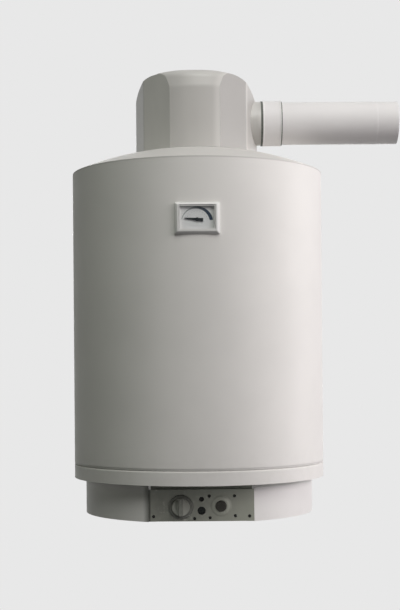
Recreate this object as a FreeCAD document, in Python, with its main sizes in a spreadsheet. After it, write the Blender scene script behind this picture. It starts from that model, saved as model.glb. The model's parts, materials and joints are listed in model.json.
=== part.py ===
import FreeCAD, Part
import math
import operator
import os
import Sketcher
from types import SimpleNamespace

# Wall-hung, room-sealed gas storage water heater, in millimetres.
# It is drawn about the casing's axis (x = y = 0), with z = 0 at the skirt's lower edge, the front
# towards -Y and the right towards +X. Each piece is then placed so that the part's origin is
# halfway between the two wall holes, on the wall.

DIMENSIONS = {
    # Fits and gaps
    "seat_gap": 0.3,            # between casing pieces that lie on each other
    "running_gap": 0.1,         # round anything that turns or slides, and round tight seats
    # Casing
    "jacket_radius": 247.5,
    "jacket_wall": 1.2,
    "hem_width": 10,
    "ring_height": 28,
    "ring_wall": 1.5,
    "ring_chamfer": 2.5,
    "skirt_setback": 22.5,      # skirt behind the jacket
    "skirt_wall": 2.5,
    "skirt_drop": 69,           # skirt below the base ring
    "skirt_rise": 15,           # skirt hidden inside the base ring
    "skirt_flange": 6,
    "plate_wall": 2,
    "lid_rise": 50,
    "lid_wall": 2,
    "lid_rim": 2.5,
    "lid_lip": 6,
    "lid_hole_radius": 75,
    # Flue hood
    "hood_height": 192,
    "hood_wall": 3,
    "hood_front_left": 42.6,    # flat front's ends, before its curve is cut
    "hood_front_right": 37,
    "hood_front_radius": 170,
    "hood_depth": 120.7,
    "hood_shoulder_left": 103,
    "hood_shoulder_right": 98,
    "hood_shoulder_depth": 70,
    "hood_half_width": 121,
    "hood_corner_radius": 42,   # top left, away from the outlet
    "hood_arch_radius": 58,     # top right, over the outlet
    "brow_tilt": 10,            # degrees that the front leans back under its top edge
    "brow_length": 15,
    "brow_foot_radius": 40,
    "brow_top_radius": 20,
    "hood_crown": 7,
    "hood_edge_radius": 10,
    # Concentric outlet
    "outlet_height": 106,       # outlet's axis above the jacket
    "air_pipe_radius": 42,
    "air_pipe_wall": 1.2,
    "air_pipe_overlap": 16,     # in the stub
    "outlet_reach": 400,        # outlet's end from the casing's axis
    "stub_wall": 1.2,
    "stub_depth": 29,           # inside the hood
    "stub_proud": 7,
    "seal_width": 4,
    "seal_wall": 1.9,
    "collar_width": 36,
    "collar_wall": 2.2,
    "collar_bead": 0.7,
    "lip_width": 2,
    "lip_wall": 1.3,
    "clamp_lug": 9,
    "clamp_lug_half_width": 6.3,
    "clamp_screw_radius": 2.5,
    "clamp_screw_head": 4.5,
    "exhaust_radius": 30,
    "exhaust_wall": 1,
    "bend_radius": 60,
    "elbow_tail": 21,
    "socket_length": 16,
    "spacer_width": 15,
    "spacer_wall": 1.2,
    "spacer_fin_count": 3,
    "spacer_inset": 72,
    "spacer_pitch": 150,
    "spigot_length": 40,        # how far the next pipe's socket slides on
    "spigot_step": 0.4,
    "spigot_slope": 3,
    # Tank and flue
    "side_foam": 33.7,          # between the jacket and the tank
    "tank_wall": 2,
    "chamber_height": 104,      # tank above the base plate
    "tank_height": 410,         # straight side of the tank
    "tank_top_rise": 40,
    "tank_base_rise": 35,
    "tank_base_ledge": 10,      # flat inside the chamber wall
    "flue_radius": 40,
    "flue_wall": 3,
    "flue_below": 7,
    "flue_above": 22,
    "baffle_wall": 1.5,
    "baffle_swing": 17,
    "baffle_fold_count": 14,
    "baffle_half_width": 24,
    "baffle_bar": 4,
    "collector_wall": 1.5,
    "collector_skirt": 18,
    "collector_cone": 18,
    "top_foam": 55,             # above the tank's straight side
    "foam_top_gap": 10,
    "anode_radius": 10.5,
    "anode_length": 300,
    "anode_offset": 120,
    "anode_boss_radius": 18,
    "anode_boss_height": 36,
    "anode_head_flats": 27,
    "anode_head_height": 10,
    "duct_depth": 28,
    "duct_half_angle": 12,
    "duct_wall": 0.8,
    "duct_bottom": 150,
    # Water connections
    "water_pipe_radius": 10,
    "water_pipe_bore": 8,
    "thread_radius": 10.48,     # half-inch pipe thread
    "thread_length": 15,
    "water_pipe_half_spacing": 75,
    "water_pipe_setback": 62,   # from the back of the tank
    "pipe_drop": 8,             # pipes' ends below the skirt
    "cold_pipe_rise": 45,
    "hot_pipe_head_gap": 22,
    "mark_ring_height": 9,
    "mark_ring_wall": 3,
    # Wall fixings
    "wall_gap": 15,
    "hook_below_top": 100,
    "hook_half_spacing": 175,
    "hook_hole_radius": 6,
    "hanger_half_length": 195,
    "hanger_height": 40,
    "hanger_depth": 14,
    "hanger_wall": 3,
    "hanger_leg_offset": 70,
    "hanger_leg_wall": 6,
    "spacer_height": 46,        # lower spacer's centre above the jacket's lower edge
    "spacer_half_length": 60,
    "spacer_face": 30,
    # Thermometer
    "gauge_below_top": 111,
    "bezel_width": 81,
    "bezel_height": 57,
    "bezel_proud": 5.5,
    "bezel_corner": 3,
    "bezel_rim_width": 7.4,
    "bezel_rim_height": 4.8,
    "bezel_bevel": 1,           # round the opening
    "bezel_round": 2.4,         # round the outside
    "gauge_depth": 28,
    "gauge_case_wall": 1.5,
    "gauge_case_inset": 1,
    "lens_wall": 1.2,
    "dial_wall": 0.8,
    "dial_depth": 3.6,
    "pivot_drop": 2.1,
    "needle_gap": 1.2,
    "needle_wall": 0.8,
    "needle_tip": 23,
    "needle_tail": 11,
    "needle_half_width": 3,
    "needle_tip_half_width": 0.8,
    "needle_tilt": 5.3,
    "needle_hub": 3.4,
    "needle_hub_height": 1.2,
    "spindle_radius": 0.9,
    "movement_radius": 14,
    "movement_depth": 12,
    "probe_radius": 3,
    "probe_length": 120,
    "pocket_radius": 4.5,
    # Control panel
    "panel_proud": 1.94,        # in front of the skirt at the window's right edge
    "panel_wall": 3,
    "panel_shift": 4,
    "panel_half_width": 97,
    "panel_bottom": 0.6,
    "panel_top": 59.3,
    "panel_return": 12,
    "upstand_height": 19,       # behind the gap above the panel
    "window_gap": 0.5,
    "jamb_width": 14,
    "field_left": 52,
    "field_right": 69,
    "field_raise": 0.8,
    "knob_offset": 38,
    "knob_height": 27.2,
    "knob_radius": 22,
    "knob_well_gap": 0.6,
    "knob_rim_wall": 5,
    "knob_disc_radius": 16.5,
    "knob_disc_raise": 4,
    "knob_grip_raise": 6,
    "knob_grip_length": 31,
    "knob_grip_width": 8,
    "knob_travel": 5,
    "knob_back_gap": 2,
    "rod_radius": 4.9,
    "rod_flat": 3.6,
    "rod_length": 22,
    "sleeve_radius": 10,
    "sleeve_length": 17,
    "sleeve_proud": 1.5,
    "neck_radius": 14,
    "small_hole_height": 41,
    "small_hole_radius": 4.6,
    "sight_height": 20,
    "sight_radius": 7.7,
    "sight_wall": 2,
    "sight_length": 12,
    "glass_wall": 1.5,
    "igniter_offset": 36,
    "igniter_height": 28.5,
    "button_radius": 10,
    "button_proud": 4,
    "button_length": 17,
    "button_travel": 6,
    "boss_radius": 19.6,
    "boss_crest": 13,
    "boss_raise": 2,
    "barrel_wall": 2.4,
    "barrel_length": 40,
    "screw_radius": 3,
    "screw_shank": 1.5,
    "screw_length": 8,
    "screw_sink": 0.6,
    "corner_screw_inset": 8.5,
    "corner_screw_height": 9.6,
    "upper_screw_left": 14.2,   # from the panel's middle
    "upper_screw_right": 60.6,
    "upper_screw_height": 46.9,
    "lower_screw_left": 15.5,
    "lower_screw_left_height": 6.8,
    "lower_screw_right": 62.3,
    "lower_screw_right_height": 10.3,
    "foot_screw_offset": 13,
    "foot_screw_height": 5.4,
    # Gas valve
    "valve_left": 75,
    "valve_right": 20,
    "valve_gap": 25,            # behind the panel's front
    "valve_depth": 58,
    "valve_bottom": 8,
    "valve_height": 42,
    "valve_corner": 7,
    "valve_cover": 8,
    "valve_cover_inset": 4,
    "valve_cover_corner": 5,
    "valve_cover_bevel": 1.5,
    "cover_screw_radius": 2.6,
    "cover_screw_inset": 9,
    "cover_screw_raise": 1.2,
    "governor_offset": 8,
    "governor_height": 39,
    "governor_radius": 6,
    "governor_length": 5,
    "pipe_nut_flats": 28,
    "pipe_nut_length": 14,
    "feed_nut_flats": 17,
    "lead_nut_flats": 9,
    "lead_nut_length": 8,
    "neck_length": 16,
    "bracket_wall": 2,
    "bracket_foot": 20,
    # Burner and chamber
    "chamber_setback": 62,      # chamber wall inside the tank's radius
    "chamber_wall": 2,
    "port_count": 8,
    "port_width": 22,
    "port_height": 14,
    "port_sill": 8,
    "door_hole_radius": 85,
    "door_radius": 97,
    "door_wall": 1.5,
    "gasket_wall": 1.5,
    "door_screw_circle": 91,
    "door_screw_count": 6,
    "burner_radius": 55,
    "burner_head_height": 16,
    "burner_crown": 4,
    "burner_wall": 2,
    "throat_radius": 16,
    "throat_length": 28,
    "stand_radius": 20,
    "stand_height": 15,
    "stand_window_count": 4,
    "flame_port_radius": 2.6,
    "flame_port_count": 24,
    "injector_radius": 7,
    "injector_below": 12,
    "injector_above": 7,
    "injector_bore": 1.5,
    "feed_radius": 5,
    "feed_bore": 4,
    "feed_height": 30,
    "feed_bend": 16,
    "inlet_offset": 60,
    "inlet_forward": 60,
    "inlet_height": 30,
    "inlet_bend": 18,
    "pilot_offset": 20,
    "pilot_forward": 70,
    "pilot_radius": 4,
    "pilot_tube_radius": 2,
    "couple_offset": 34,
    "couple_forward": 66,
    "couple_radius": 3,
    "couple_lead_radius": 1.5,
    "lead_height": 41,
    "lead_bend": 9,
    "lead_drop": 3,
    "electrode_offset": 40,
    "electrode_forward": 62,
    "electrode_radius": 4,
    "electrode_wire": 1,
    "ignition_lead_radius": 2.2,
    "pilot_head_height": 49,
    "bulb_radius": 5,
    "bulb_rise": 140,
    "bulb_nut_flats": 17,
    "bulb_nut_height": 12,
    "bulb_setback": 10,         # behind the valve's front
    "capillary_radius": 1.5,
}

UPRIGHT = FreeCAD.Rotation()
FORWARD = FreeCAD.Rotation(FreeCAD.Vector(1, 0, 0), 90)
RIGHTWARD = FreeCAD.Rotation(FreeCAD.Vector(0, 1, 0), 90)

OUTSIDE = 20        # how far a cutting tool reaches past what it cuts
RADIAN = math.degrees(1)


class Size:
    """A length or an angle, as its value and as the formula that gives it on the sheet."""

    def __init__(self, value, formula=None):
        self.value = float(value)
        self.formula = formula or repr(float(value))

    def joined(self, other, sign, work):
        other = size(other)
        return Size(work(self.value, other.value), f"({self.formula} {sign} {other.formula})")

    def __add__(self, other):
        return self.joined(other, "+", operator.add)

    def __sub__(self, other):
        return self.joined(other, "-", operator.sub)

    def __mul__(self, other):
        return self.joined(other, "*", operator.mul)

    def __truediv__(self, other):
        return self.joined(other, "/", operator.truediv)

    def __radd__(self, other):
        return size(other) + self

    def __rsub__(self, other):
        return size(other) - self

    def __rmul__(self, other):
        return size(other) * self

    def __neg__(self):
        return size(0) - self


def size(number):
    return number if isinstance(number, Size) else Size(number)


def root(square):
    return Size(math.sqrt(square.value), f"sqrt({square.formula})")


def sine(angle):
    return Size(math.sin(math.radians(angle.value)), f"sin({angle.formula})")


def cosine(angle):
    return Size(math.cos(math.radians(angle.value)), f"cos({angle.formula})")


def leg(hypotenuse, other):
    """The third side of a right triangle, such as a circle's height above a point."""
    return root(hypotenuse * hypotenuse - other * other)


def cap_radius(half_width, rise):
    """The radius of the ball that a shallow dome is cut from."""
    return (half_width * half_width + rise * rise) / (2 * rise)


doc = FreeCAD.newDocument("WaterHeater")
sheet = doc.addObject("Spreadsheet::Sheet", "Sizes")
for row, (alias, number) in enumerate(DIMENSIONS.items(), start=1):
    sheet.set(f"A{row}", alias.replace("_", " "))
    sheet.set(f"B{row}", str(number))
    sheet.setAlias(f"B{row}", alias)
doc.recompute()
dim = SimpleNamespace(**{alias: Size(number, f"Sizes.{alias}") for alias, number in DIMENSIONS.items()})

pieces = []


# Drawing tools

def bind(thing, path, length):
    thing.setExpression(path, size(length).formula)


def arc_between(first, second, radius):
    """An arc of a given radius from one point to another: to the left, or right if negative."""
    chord = second - first
    middle = first + chord * 0.5
    left = FreeCAD.Vector(-chord.y, chord.x, 0).normalize()
    away = math.sqrt(max(radius ** 2 - (chord.Length / 2) ** 2, 0))
    centre = middle + left * math.copysign(away, radius)
    angles = [math.atan2(point.y - centre.y, point.x - centre.x) for point in (first, second)]
    if radius < 0:
        angles.reverse()
    circle = Part.Circle(centre, FreeCAD.Vector(0, 0, 1), abs(radius))
    return Part.ArcOfCircle(circle, *angles)


def draw_outline(sketch, corners):
    """A closed outline. Each corner is (across, up) or (across, up, radius).

    With a radius, the side that starts at the corner is an arc: it turns left where the radius
    is positive and right where it is negative.
    """
    first_index = sketch.GeometryCount
    points = [FreeCAD.Vector(size(c[0]).value, size(c[1]).value, 0) for c in corners]
    starts = []
    for index, corner in enumerate(corners):
        here, there = points[index], points[(index + 1) % len(corners)]
        if len(corner) == 2:
            sketch.addGeometry(Part.LineSegment(here, there), False)
            starts.append(1)
        else:
            radius = size(corner[2])
            sketch.addGeometry(arc_between(here, there, radius.value), False)
            starts.append(1 if radius.value > 0 else 2)
    for index, corner in enumerate(corners):
        side, start = first_index + index, starts[index]
        following = (index + 1) % len(corners)
        sketch.addConstraint(Sketcher.Constraint(
            "Coincident", side, 3 - start, first_index + following, starts[following]))
        tie_point(sketch, side, start, corner)
        if len(corner) == 3:
            radius = size(corner[2])
            tie(sketch, radius if radius.value > 0 else -radius, "Radius", side)


def draw_circle(sketch, across, up, radius):
    centre = FreeCAD.Vector(size(across).value, size(up).value, 0)
    index = sketch.addGeometry(Part.Circle(centre, FreeCAD.Vector(0, 0, 1), size(radius).value), False)
    tie_point(sketch, index, 3, (across, up))
    tie(sketch, radius, "Radius", index)


def tie_point(sketch, index, point, place):
    tie(sketch, place[0], "DistanceX", -1, 1, index, point)
    tie(sketch, place[1], "DistanceY", -1, 1, index, point)


def tie(sketch, length, kind, *where):
    length = size(length)
    number = sketch.addConstraint(Sketcher.Constraint(kind, *where, length.value))
    sketch.setExpression(f"Constraints[{number}]", length.formula)


def new_sketch(body, plane, offset, outlines, circles):
    sketch = body.newObject("Sketcher::SketchObject", f"{body.Name}_sketch")
    base = next(item for item in body.Origin.OriginFeatures if item.Role == plane)
    sketch.AttachmentSupport = [(base, "")]
    sketch.MapMode = "FlatFace"
    bind(sketch, "AttachmentOffset.Base.z", offset)
    for outline in outlines:
        draw_outline(sketch, outline)
    for circle in circles:
        draw_circle(sketch, *circle)
    return sketch


def turned(name, *outlines, angle=360):
    """A body turned about its own Z axis from outlines of (distance from the axis, height)."""
    body = doc.addObject("PartDesign::Body", name)
    sketch = new_sketch(body, "XZ_Plane", 0, outlines, ())
    feature = body.newObject("PartDesign::Revolution", f"{name}_turn")
    feature.Profile = sketch
    feature.ReferenceAxis = (sketch, ["V_Axis"])
    feature.Angle = angle
    return body


def padded(name, plane, start, length, outlines=(), circles=()):
    """A body raised from a plane, between two distances along the plane's normal.

    The normal is +Z for the XY plane, the front for the XZ plane and +X for the YZ plane.
    """
    body = doc.addObject("PartDesign::Body", name)
    add_pad(body, plane, start, length, outlines, circles)
    return body


def add_pad(body, plane, start, length, outlines=(), circles=()):
    feature = body.newObject("PartDesign::Pad", f"{body.Name}_pad")
    feature.Profile = new_sketch(body, plane, start, outlines, circles)
    bind(feature, "Length", length)
    body.Tip = feature
    return feature


def add_pocket(body, plane, start, length, outlines=(), circles=()):
    feature = body.newObject("PartDesign::Pocket", f"{body.Name}_pocket")
    feature.Profile = new_sketch(body, plane, start, outlines, circles)
    feature.Reversed = True
    bind(feature, "Length", length)
    body.Tip = feature
    return feature


def repeat_round(body, feature, count, plane_axis="Z_Axis"):
    """The feature, repeated evenly round one of the body's own axes."""
    doc.recompute()
    pattern = body.newObject("PartDesign::PolarPattern", f"{feature.Name}_pattern")
    pattern.Originals = [feature]
    axis = next(item for item in body.Origin.OriginFeatures if item.Role == plane_axis)
    pattern.Axis = (axis, [""])
    pattern.Angle = 360
    bind(pattern, "Occurrences", count)
    body.Tip = pattern
    return pattern


def round_upright_edges(body, radius):
    doc.recompute()
    tip = body.Tip
    upright = [f"Edge{number}" for number, edge in enumerate(tip.Shape.Edges, start=1)
               if edge.BoundBox.ZLength > edge.BoundBox.XLength + edge.BoundBox.YLength]
    feature = body.newObject("PartDesign::Fillet", f"{body.Name}_round")
    feature.Base = (tip, upright)
    bind(feature, "Radius", radius)
    body.Tip = feature


def chamfer_front(body, front, depth, bevel):
    """Bevels the edges of a plate's front face."""
    doc.recompute()
    tip = body.Tip
    halfway = depth.value / 2 - front.value
    edges = [f"Edge{number}" for number, edge in enumerate(tip.Shape.Edges, start=1)
             if edge.BoundBox.YMax < halfway]
    feature = body.newObject("PartDesign::Chamfer", f"{body.Name}_bevel")
    feature.Base = (tip, edges)
    bind(feature, "Size", bevel)
    body.Tip = feature


def piped(name, plane, offset, path, radius, bore=None):
    """A bent round bar or tube. The path is (across, up) or (across, up, bend radius) points."""
    body = doc.addObject("PartDesign::Body", name)
    spine = body.newObject("Sketcher::SketchObject", f"{name}_path")
    base = next(item for item in body.Origin.OriginFeatures if item.Role == plane)
    spine.AttachmentSupport = [(base, "")]
    spine.MapMode = "FlatFace"
    bind(spine, "AttachmentOffset.Base.z", offset)
    points = [FreeCAD.Vector(size(p[0]).value, size(p[1]).value, 0) for p in path]
    for index, place in enumerate(path[:-1]):
        if len(place) == 2:
            spine.addGeometry(Part.LineSegment(points[index], points[index + 1]), False)
            start = 1
        else:
            spine.addGeometry(arc_between(points[index], points[index + 1], size(place[2]).value), False)
            start = 1 if size(place[2]).value > 0 else 2
            tie(spine, place[2] if start == 1 else -size(place[2]), "Radius", index)
        if index:
            spine.addConstraint(Sketcher.Constraint("Coincident", index - 1, last_end, index, start))
        tie_point(spine, index, start, place)
        last_end = 3 - start
    tie_point(spine, len(path) - 2, last_end, path[-1])
    section = body.newObject("Sketcher::SketchObject", f"{name}_section")
    section.AttachmentSupport = [(spine, "Edge1")]
    section.MapMode = "NormalToEdge"
    draw_circle(section, 0, 0, radius)
    if bore:
        draw_circle(section, 0, 0, bore)
    sweep = body.newObject("PartDesign::AdditivePipe", f"{name}_sweep")
    sweep.Profile = section
    sweep.Spine = (spine, [f"Edge{number + 1}" for number in range(len(path) - 1)])
    return body


def box(name, left, right, front, back, bottom, top):
    """A block between two distances across, two in front of the axis and two heights."""
    block = doc.addObject("Part::Box", name)
    bind(block, "Length", size(right) - left)
    bind(block, "Width", size(front) - back)
    bind(block, "Height", size(top) - bottom)
    bind(block, "Placement.Base.x", left)
    bind(block, "Placement.Base.y", -size(front))
    bind(block, "Placement.Base.z", bottom)
    return block


def rod(name, radius, length, across=0, forward=0, height=0, turn=UPRIGHT):
    """A cylinder from a point, upright unless turned to the front or to the right."""
    cylinder = doc.addObject("Part::Cylinder", name)
    bind(cylinder, "Radius", radius)
    bind(cylinder, "Height", length)
    set_place(cylinder, across, forward, height, turn)
    return cylinder


def set_place(thing, across=0, forward=0, height=0, turn=UPRIGHT):
    thing.Placement = FreeCAD.Placement(FreeCAD.Vector(0, 0, 0), turn)
    bind(thing, "Placement.Base.x", across)
    bind(thing, "Placement.Base.y", -size(forward))
    bind(thing, "Placement.Base.z", height)


def cut(name, base, *tools):
    """The base without each tool in turn."""
    for number, tool in enumerate(tools, start=1):
        result = doc.addObject("Part::Cut", name if number == len(tools) else f"{name}_cut_{number}")
        result.Base = base
        result.Tool = tool
        base = result
    return base


def fuse(name, *parts):
    result = doc.addObject("Part::MultiFuse", name)
    result.Shapes = list(parts)
    result.Refine = True
    return result


def common(name, *parts):
    result = doc.addObject("Part::MultiCommon", name)
    result.Shapes = list(parts)
    return result


def group(name, *parts):
    result = doc.addObject("Part::Compound", name)
    result.Links = list(parts)
    return result


def finish(label, piece, across=0, forward=0, height=0, turn=UPRIGHT):
    """Names a piece and puts it where the wall holes are the origin."""
    piece.Label = label
    set_place(piece, across, size(forward) + axis_to_wall, size(height) - hook_height, turn)
    pieces.append(piece)


def rectangle(left, right, bottom, top):
    return [(left, bottom), (right, bottom), (right, top), (left, top)]


def rounded(left, right, bottom, top, radius):
    """A rectangle with round corners."""
    left, right, bottom, top = size(left), size(right), size(bottom), size(top)
    return [(left + radius, bottom), (right - radius, bottom, radius), (right, bottom + radius),
            (right, top - radius, radius), (right - radius, top), (left + radius, top, radius),
            (left, top - radius), (left, bottom + radius, radius)]


def hexagon(flats, across=0, up=0):
    """A nut's outline, from its width across flats, with two corners on the level line."""
    half, corner = flats / 2, flats / math.sqrt(3)
    corners = [(corner, size(0)), (corner / 2, half), (-corner / 2, half), (-corner, size(0)),
               (-corner / 2, -half), (corner / 2, -half)]
    return [(across + x, up + z) for x, z in corners]


def tube_outline(inner, outer, bottom, top):
    return rectangle(inner, outer, bottom, top)


# Places worked out from the sizes

axis_to_wall = dim.jacket_radius + dim.wall_gap
skirt_radius = dim.jacket_radius - dim.skirt_setback
skirt_top = dim.skirt_drop + dim.skirt_rise
plate_top = skirt_top + dim.plate_wall
jacket_bottom = dim.skirt_drop + dim.ring_height
jacket_inside = dim.jacket_radius - dim.jacket_wall
hem_edge = dim.jacket_radius - dim.hem_width

foam_outside = jacket_inside - dim.seat_gap
foam_inside = foam_outside - dim.side_foam
tank_radius = foam_inside - dim.seat_gap
tank_bottom = plate_top + dim.chamber_height
tank_shoulder = tank_bottom + dim.tank_height
foam_top = tank_shoulder + dim.top_foam
jacket_top = foam_top + dim.foam_top_gap
hook_height = jacket_top - dim.hook_below_top

chamber_radius = tank_radius - dim.chamber_setback
tank_base_radius = chamber_radius - dim.tank_base_ledge
water_pipe_back = tank_radius - dim.water_pipe_setback
gasket_bottom = skirt_top - dim.gasket_wall
door_bottom = gasket_bottom - dim.door_wall

lid_edge = jacket_top + dim.lid_rim
lid_ball = cap_radius(dim.jacket_radius, dim.lid_rise)
lid_centre = lid_edge + dim.lid_rise - lid_ball

outlet_centre = jacket_top + dim.outlet_height
stub_bore = dim.air_pipe_radius + dim.seat_gap
stub_start = dim.hood_half_width - dim.stub_depth
stub_end = dim.hood_half_width + dim.stub_proud
seal_end = stub_end + dim.seal_width
collar_end = seal_end + dim.collar_width
elbow_end = dim.bend_radius + dim.elbow_tail

tank_top_ball = cap_radius(tank_radius, dim.tank_top_rise)
tank_top_centre = tank_shoulder + dim.tank_top_rise - tank_top_ball
tank_base_ball = cap_radius(tank_base_radius, dim.tank_base_rise)
tank_base_centre = tank_bottom + dim.tank_base_rise - tank_base_ball
flue_hole = dim.flue_radius + dim.running_gap
flue_bottom = tank_base_centre + leg(tank_base_ball, dim.flue_radius) - dim.flue_below
flue_top = tank_top_centre + leg(tank_top_ball, dim.flue_radius) + dim.flue_above
collector_bottom = flue_top - dim.collector_skirt / 2
cone_bottom = flue_top + dim.collector_skirt / 2
cone_top = cone_bottom + dim.collector_cone

duct_outside = foam_outside
duct_inside = duct_outside - dim.duct_depth
anode_seat = tank_shoulder + dim.anode_boss_height
pipe_end = -dim.pipe_drop

gauge_centre = jacket_top - dim.gauge_below_top
pivot_height = gauge_centre - dim.pivot_drop
gauge_half_width = dim.bezel_width / 2 - dim.bezel_rim_width
gauge_half_height = dim.bezel_height / 2 - dim.bezel_rim_height
bezel_front = dim.jacket_radius + dim.bezel_proud
case_front = bezel_front - dim.gauge_case_inset
case_back = case_front - dim.gauge_depth
case_half_width = gauge_half_width - dim.seat_gap
case_half_height = gauge_half_height - dim.seat_gap
lens_front = case_front - dim.seat_gap
dial_front = lens_front - dim.lens_wall - dim.dial_depth
movement_front = dial_front - dim.dial_wall - dim.seat_gap
movement_back = movement_front - dim.movement_depth
probe_tip = movement_back - dim.probe_length
needle_back = dial_front + dim.needle_gap

panel_left = dim.panel_shift - dim.panel_half_width
panel_right = dim.panel_shift + dim.panel_half_width
panel_front = leg(skirt_radius, panel_right) + dim.panel_proud
panel_back = panel_front - dim.panel_wall
behind_panel = panel_back - dim.seat_gap
knob_across = dim.panel_shift - dim.knob_offset
button_across = dim.panel_shift + dim.igniter_offset
valve_front = panel_front - dim.valve_gap
neck_front = valve_front + dim.neck_length
bulb_forward = valve_front - dim.bulb_setback
sleeve_front = neck_front + dim.sleeve_proud
sleeve_back = sleeve_front - dim.sleeve_length
knob_back = sleeve_front + dim.knob_travel + dim.knob_back_gap
rod_end = knob_back - dim.rod_length
field_front = panel_front + dim.field_raise
button_front = panel_front + dim.button_proud + dim.boss_raise
button_back = button_front - dim.button_length
valve_back = valve_front - dim.valve_depth
valve_top = dim.valve_bottom + dim.valve_height

stand_top = gasket_bottom + dim.stand_height
head_bottom = stand_top + dim.burner_wall + dim.throat_length
head_top = head_bottom + dim.burner_head_height
pilot_top = gasket_bottom + dim.pilot_head_height
lead_end = door_bottom - dim.lead_drop


# The panel's screws: across from its middle, and height
panel_screws = [
    (dim.corner_screw_inset - dim.panel_half_width, dim.corner_screw_height),
    (dim.panel_half_width - dim.corner_screw_inset, dim.corner_screw_height),
    (dim.upper_screw_left, dim.upper_screw_height),
    (dim.upper_screw_right, dim.upper_screw_height),
    (dim.lower_screw_left, dim.lower_screw_left_height),
    (dim.lower_screw_right, dim.lower_screw_right_height),
    (-dim.foot_screw_offset, dim.foot_screw_height),
]


def top_dome(distance, gap=0):
    """The height of the tank's top head, or of a surface a little above it."""
    return tank_top_centre + leg(tank_top_ball + gap, size(distance))


# Casing

def make_jacket():
    wall = dim.jacket_wall
    outside, low, high = dim.jacket_radius, jacket_bottom, jacket_top
    shell = turned("jacket_shell", [
        (outside, low), (outside, high), (hem_edge, high), (hem_edge, high - wall),
        (jacket_inside, high - wall), (jacket_inside, low + wall), (hem_edge, low + wall),
        (hem_edge, low)])
    window = box("jacket_window", -gauge_half_width, gauge_half_width,
                 outside + OUTSIDE, outside - OUTSIDE,
                 gauge_centre - gauge_half_height, gauge_centre + gauge_half_height)
    slots = [hanger_slot("jacket_slot", side) for side in (-1, 1)]
    tabs = [spacer_tab("jacket_tab_slot", side, dim.seat_gap) for side in (-1, 1)]
    finish("jacket", cut("jacket", shell, window, *slots, *tabs))


def hanger_slot(name, side):
    """The slot that a hanger leg passes through, at the back, on one side."""
    middle = dim.hanger_leg_offset * side
    half = dim.hanger_leg_wall / 2 + dim.seat_gap
    reach = dim.hanger_height / 2 + dim.seat_gap
    return box(name, middle - half, middle + half, OUTSIDE - tank_radius, -axis_to_wall,
               hook_height - reach, hook_height + reach)


def spacer_tab(name, side, gap):
    """A tab of the lower spacer, or with a gap the slot for it in the jacket."""
    middle = dim.spacer_half_length * side / 2
    height = jacket_bottom + dim.spacer_height
    half = dim.hanger_leg_wall
    return box(name, middle - half - gap, middle + half + gap,
               -dim.jacket_radius + dim.hem_width, -dim.jacket_radius - dim.wall_gap / 2,
               height - dim.hanger_wall / 2 - gap, height + dim.hanger_wall / 2 + gap)


def make_base_ring():
    wall, chamfer = dim.ring_wall, dim.ring_chamfer
    outside, low, high = dim.jacket_radius, dim.skirt_drop, jacket_bottom
    mitre = wall * math.tan(math.radians(22.5))
    inner_edge = skirt_radius + dim.seat_gap
    finish("base_ring", turned("base_ring", [
        (outside, low), (outside, high - chamfer), (outside - chamfer, high), (hem_edge, high),
        (hem_edge, high - wall), (outside - chamfer - mitre, high - wall),
        (outside - wall, high - chamfer - mitre), (outside - wall, low + wall),
        (inner_edge, low + wall), (inner_edge, low)]))


def make_skirt():
    wall, flange = dim.skirt_wall, dim.skirt_flange
    outside, inside = skirt_radius, skirt_radius - wall
    shell = turned("skirt_shell", [
        (outside, 0), (outside, skirt_top), (outside - flange, skirt_top),
        (outside - flange, skirt_top - wall), (inside, skirt_top - wall), (inside, wall),
        (outside - flange, wall), (outside - flange, 0)])
    left, right = panel_left - dim.window_gap, panel_right + dim.window_gap
    window_top = dim.skirt_drop + dim.skirt_rise / 2
    window = box("skirt_window", left, right, outside + OUTSIDE, outside / 2, -OUTSIDE, window_top)
    open_skirt = cut("skirt_open", shell, window)
    jamb_top = dim.panel_top - dim.window_gap
    jambs = []
    for edge, inward in ((left, 1), (right, -1)):
        ends = sorted((edge - dim.jamb_width * inward, edge + dim.jamb_width * inward),
                      key=lambda end: end.value)
        jambs.append(box("skirt_jamb_block", *ends, behind_panel, behind_panel - wall, 0, jamb_top))
    limit = rod("skirt_limit", outside - wall / 2, window_top)
    kept = [common("skirt_jamb", jamb, limit) for jamb in jambs]
    holes = padded("jamb_holes", "XZ_Plane", behind_panel - dim.screw_length, dim.screw_length, circles=[
        (dim.panel_shift + across, height, dim.screw_shank + dim.running_gap)
        for across, height in panel_screws[:2]])
    finish("skirt", cut("skirt", fuse("skirt_whole", open_skirt, *kept), holes))


def make_base_plate():
    holes = [(0, 0, dim.jacket_radius - dim.ring_wall - dim.seat_gap), (0, 0, dim.door_hole_radius)]
    for side in (-1, 1):
        holes.append((dim.water_pipe_half_spacing * side, water_pipe_back,
                      dim.water_pipe_radius + dim.running_gap))
    holes.append((knob_across, -bulb_forward, dim.bulb_radius + dim.seat_gap))
    holes += door_screw_circles(dim.screw_shank + dim.running_gap)
    finish("base_plate", padded("base_plate", "XY_Plane", skirt_top, dim.plate_wall, circles=holes))


def door_screw_circles(radius):
    turn = 2 * math.pi / dim.door_screw_count.value
    angles = [turn * (step + 0.5) for step in range(int(dim.door_screw_count.value))]
    return [(dim.door_screw_circle * math.cos(angle), dim.door_screw_circle * math.sin(angle), radius)
            for angle in angles]


def make_lid():
    wall = dim.lid_wall
    lip = hem_edge - dim.seat_gap
    hole = dim.lid_hole_radius
    under = lid_ball - wall
    finish("lid", turned("lid", [
        (hole, lid_centre + leg(lid_ball, hole), -lid_ball), (dim.jacket_radius, lid_edge),
        (dim.jacket_radius, jacket_top), (lip, jacket_top), (lip, jacket_top - dim.lid_lip),
        (lip - wall, jacket_top - dim.lid_lip), (lip - wall, lid_centre + leg(under, lip - wall), under),
        (hole, lid_centre + leg(under, hole))]))


# Flue hood

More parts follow.
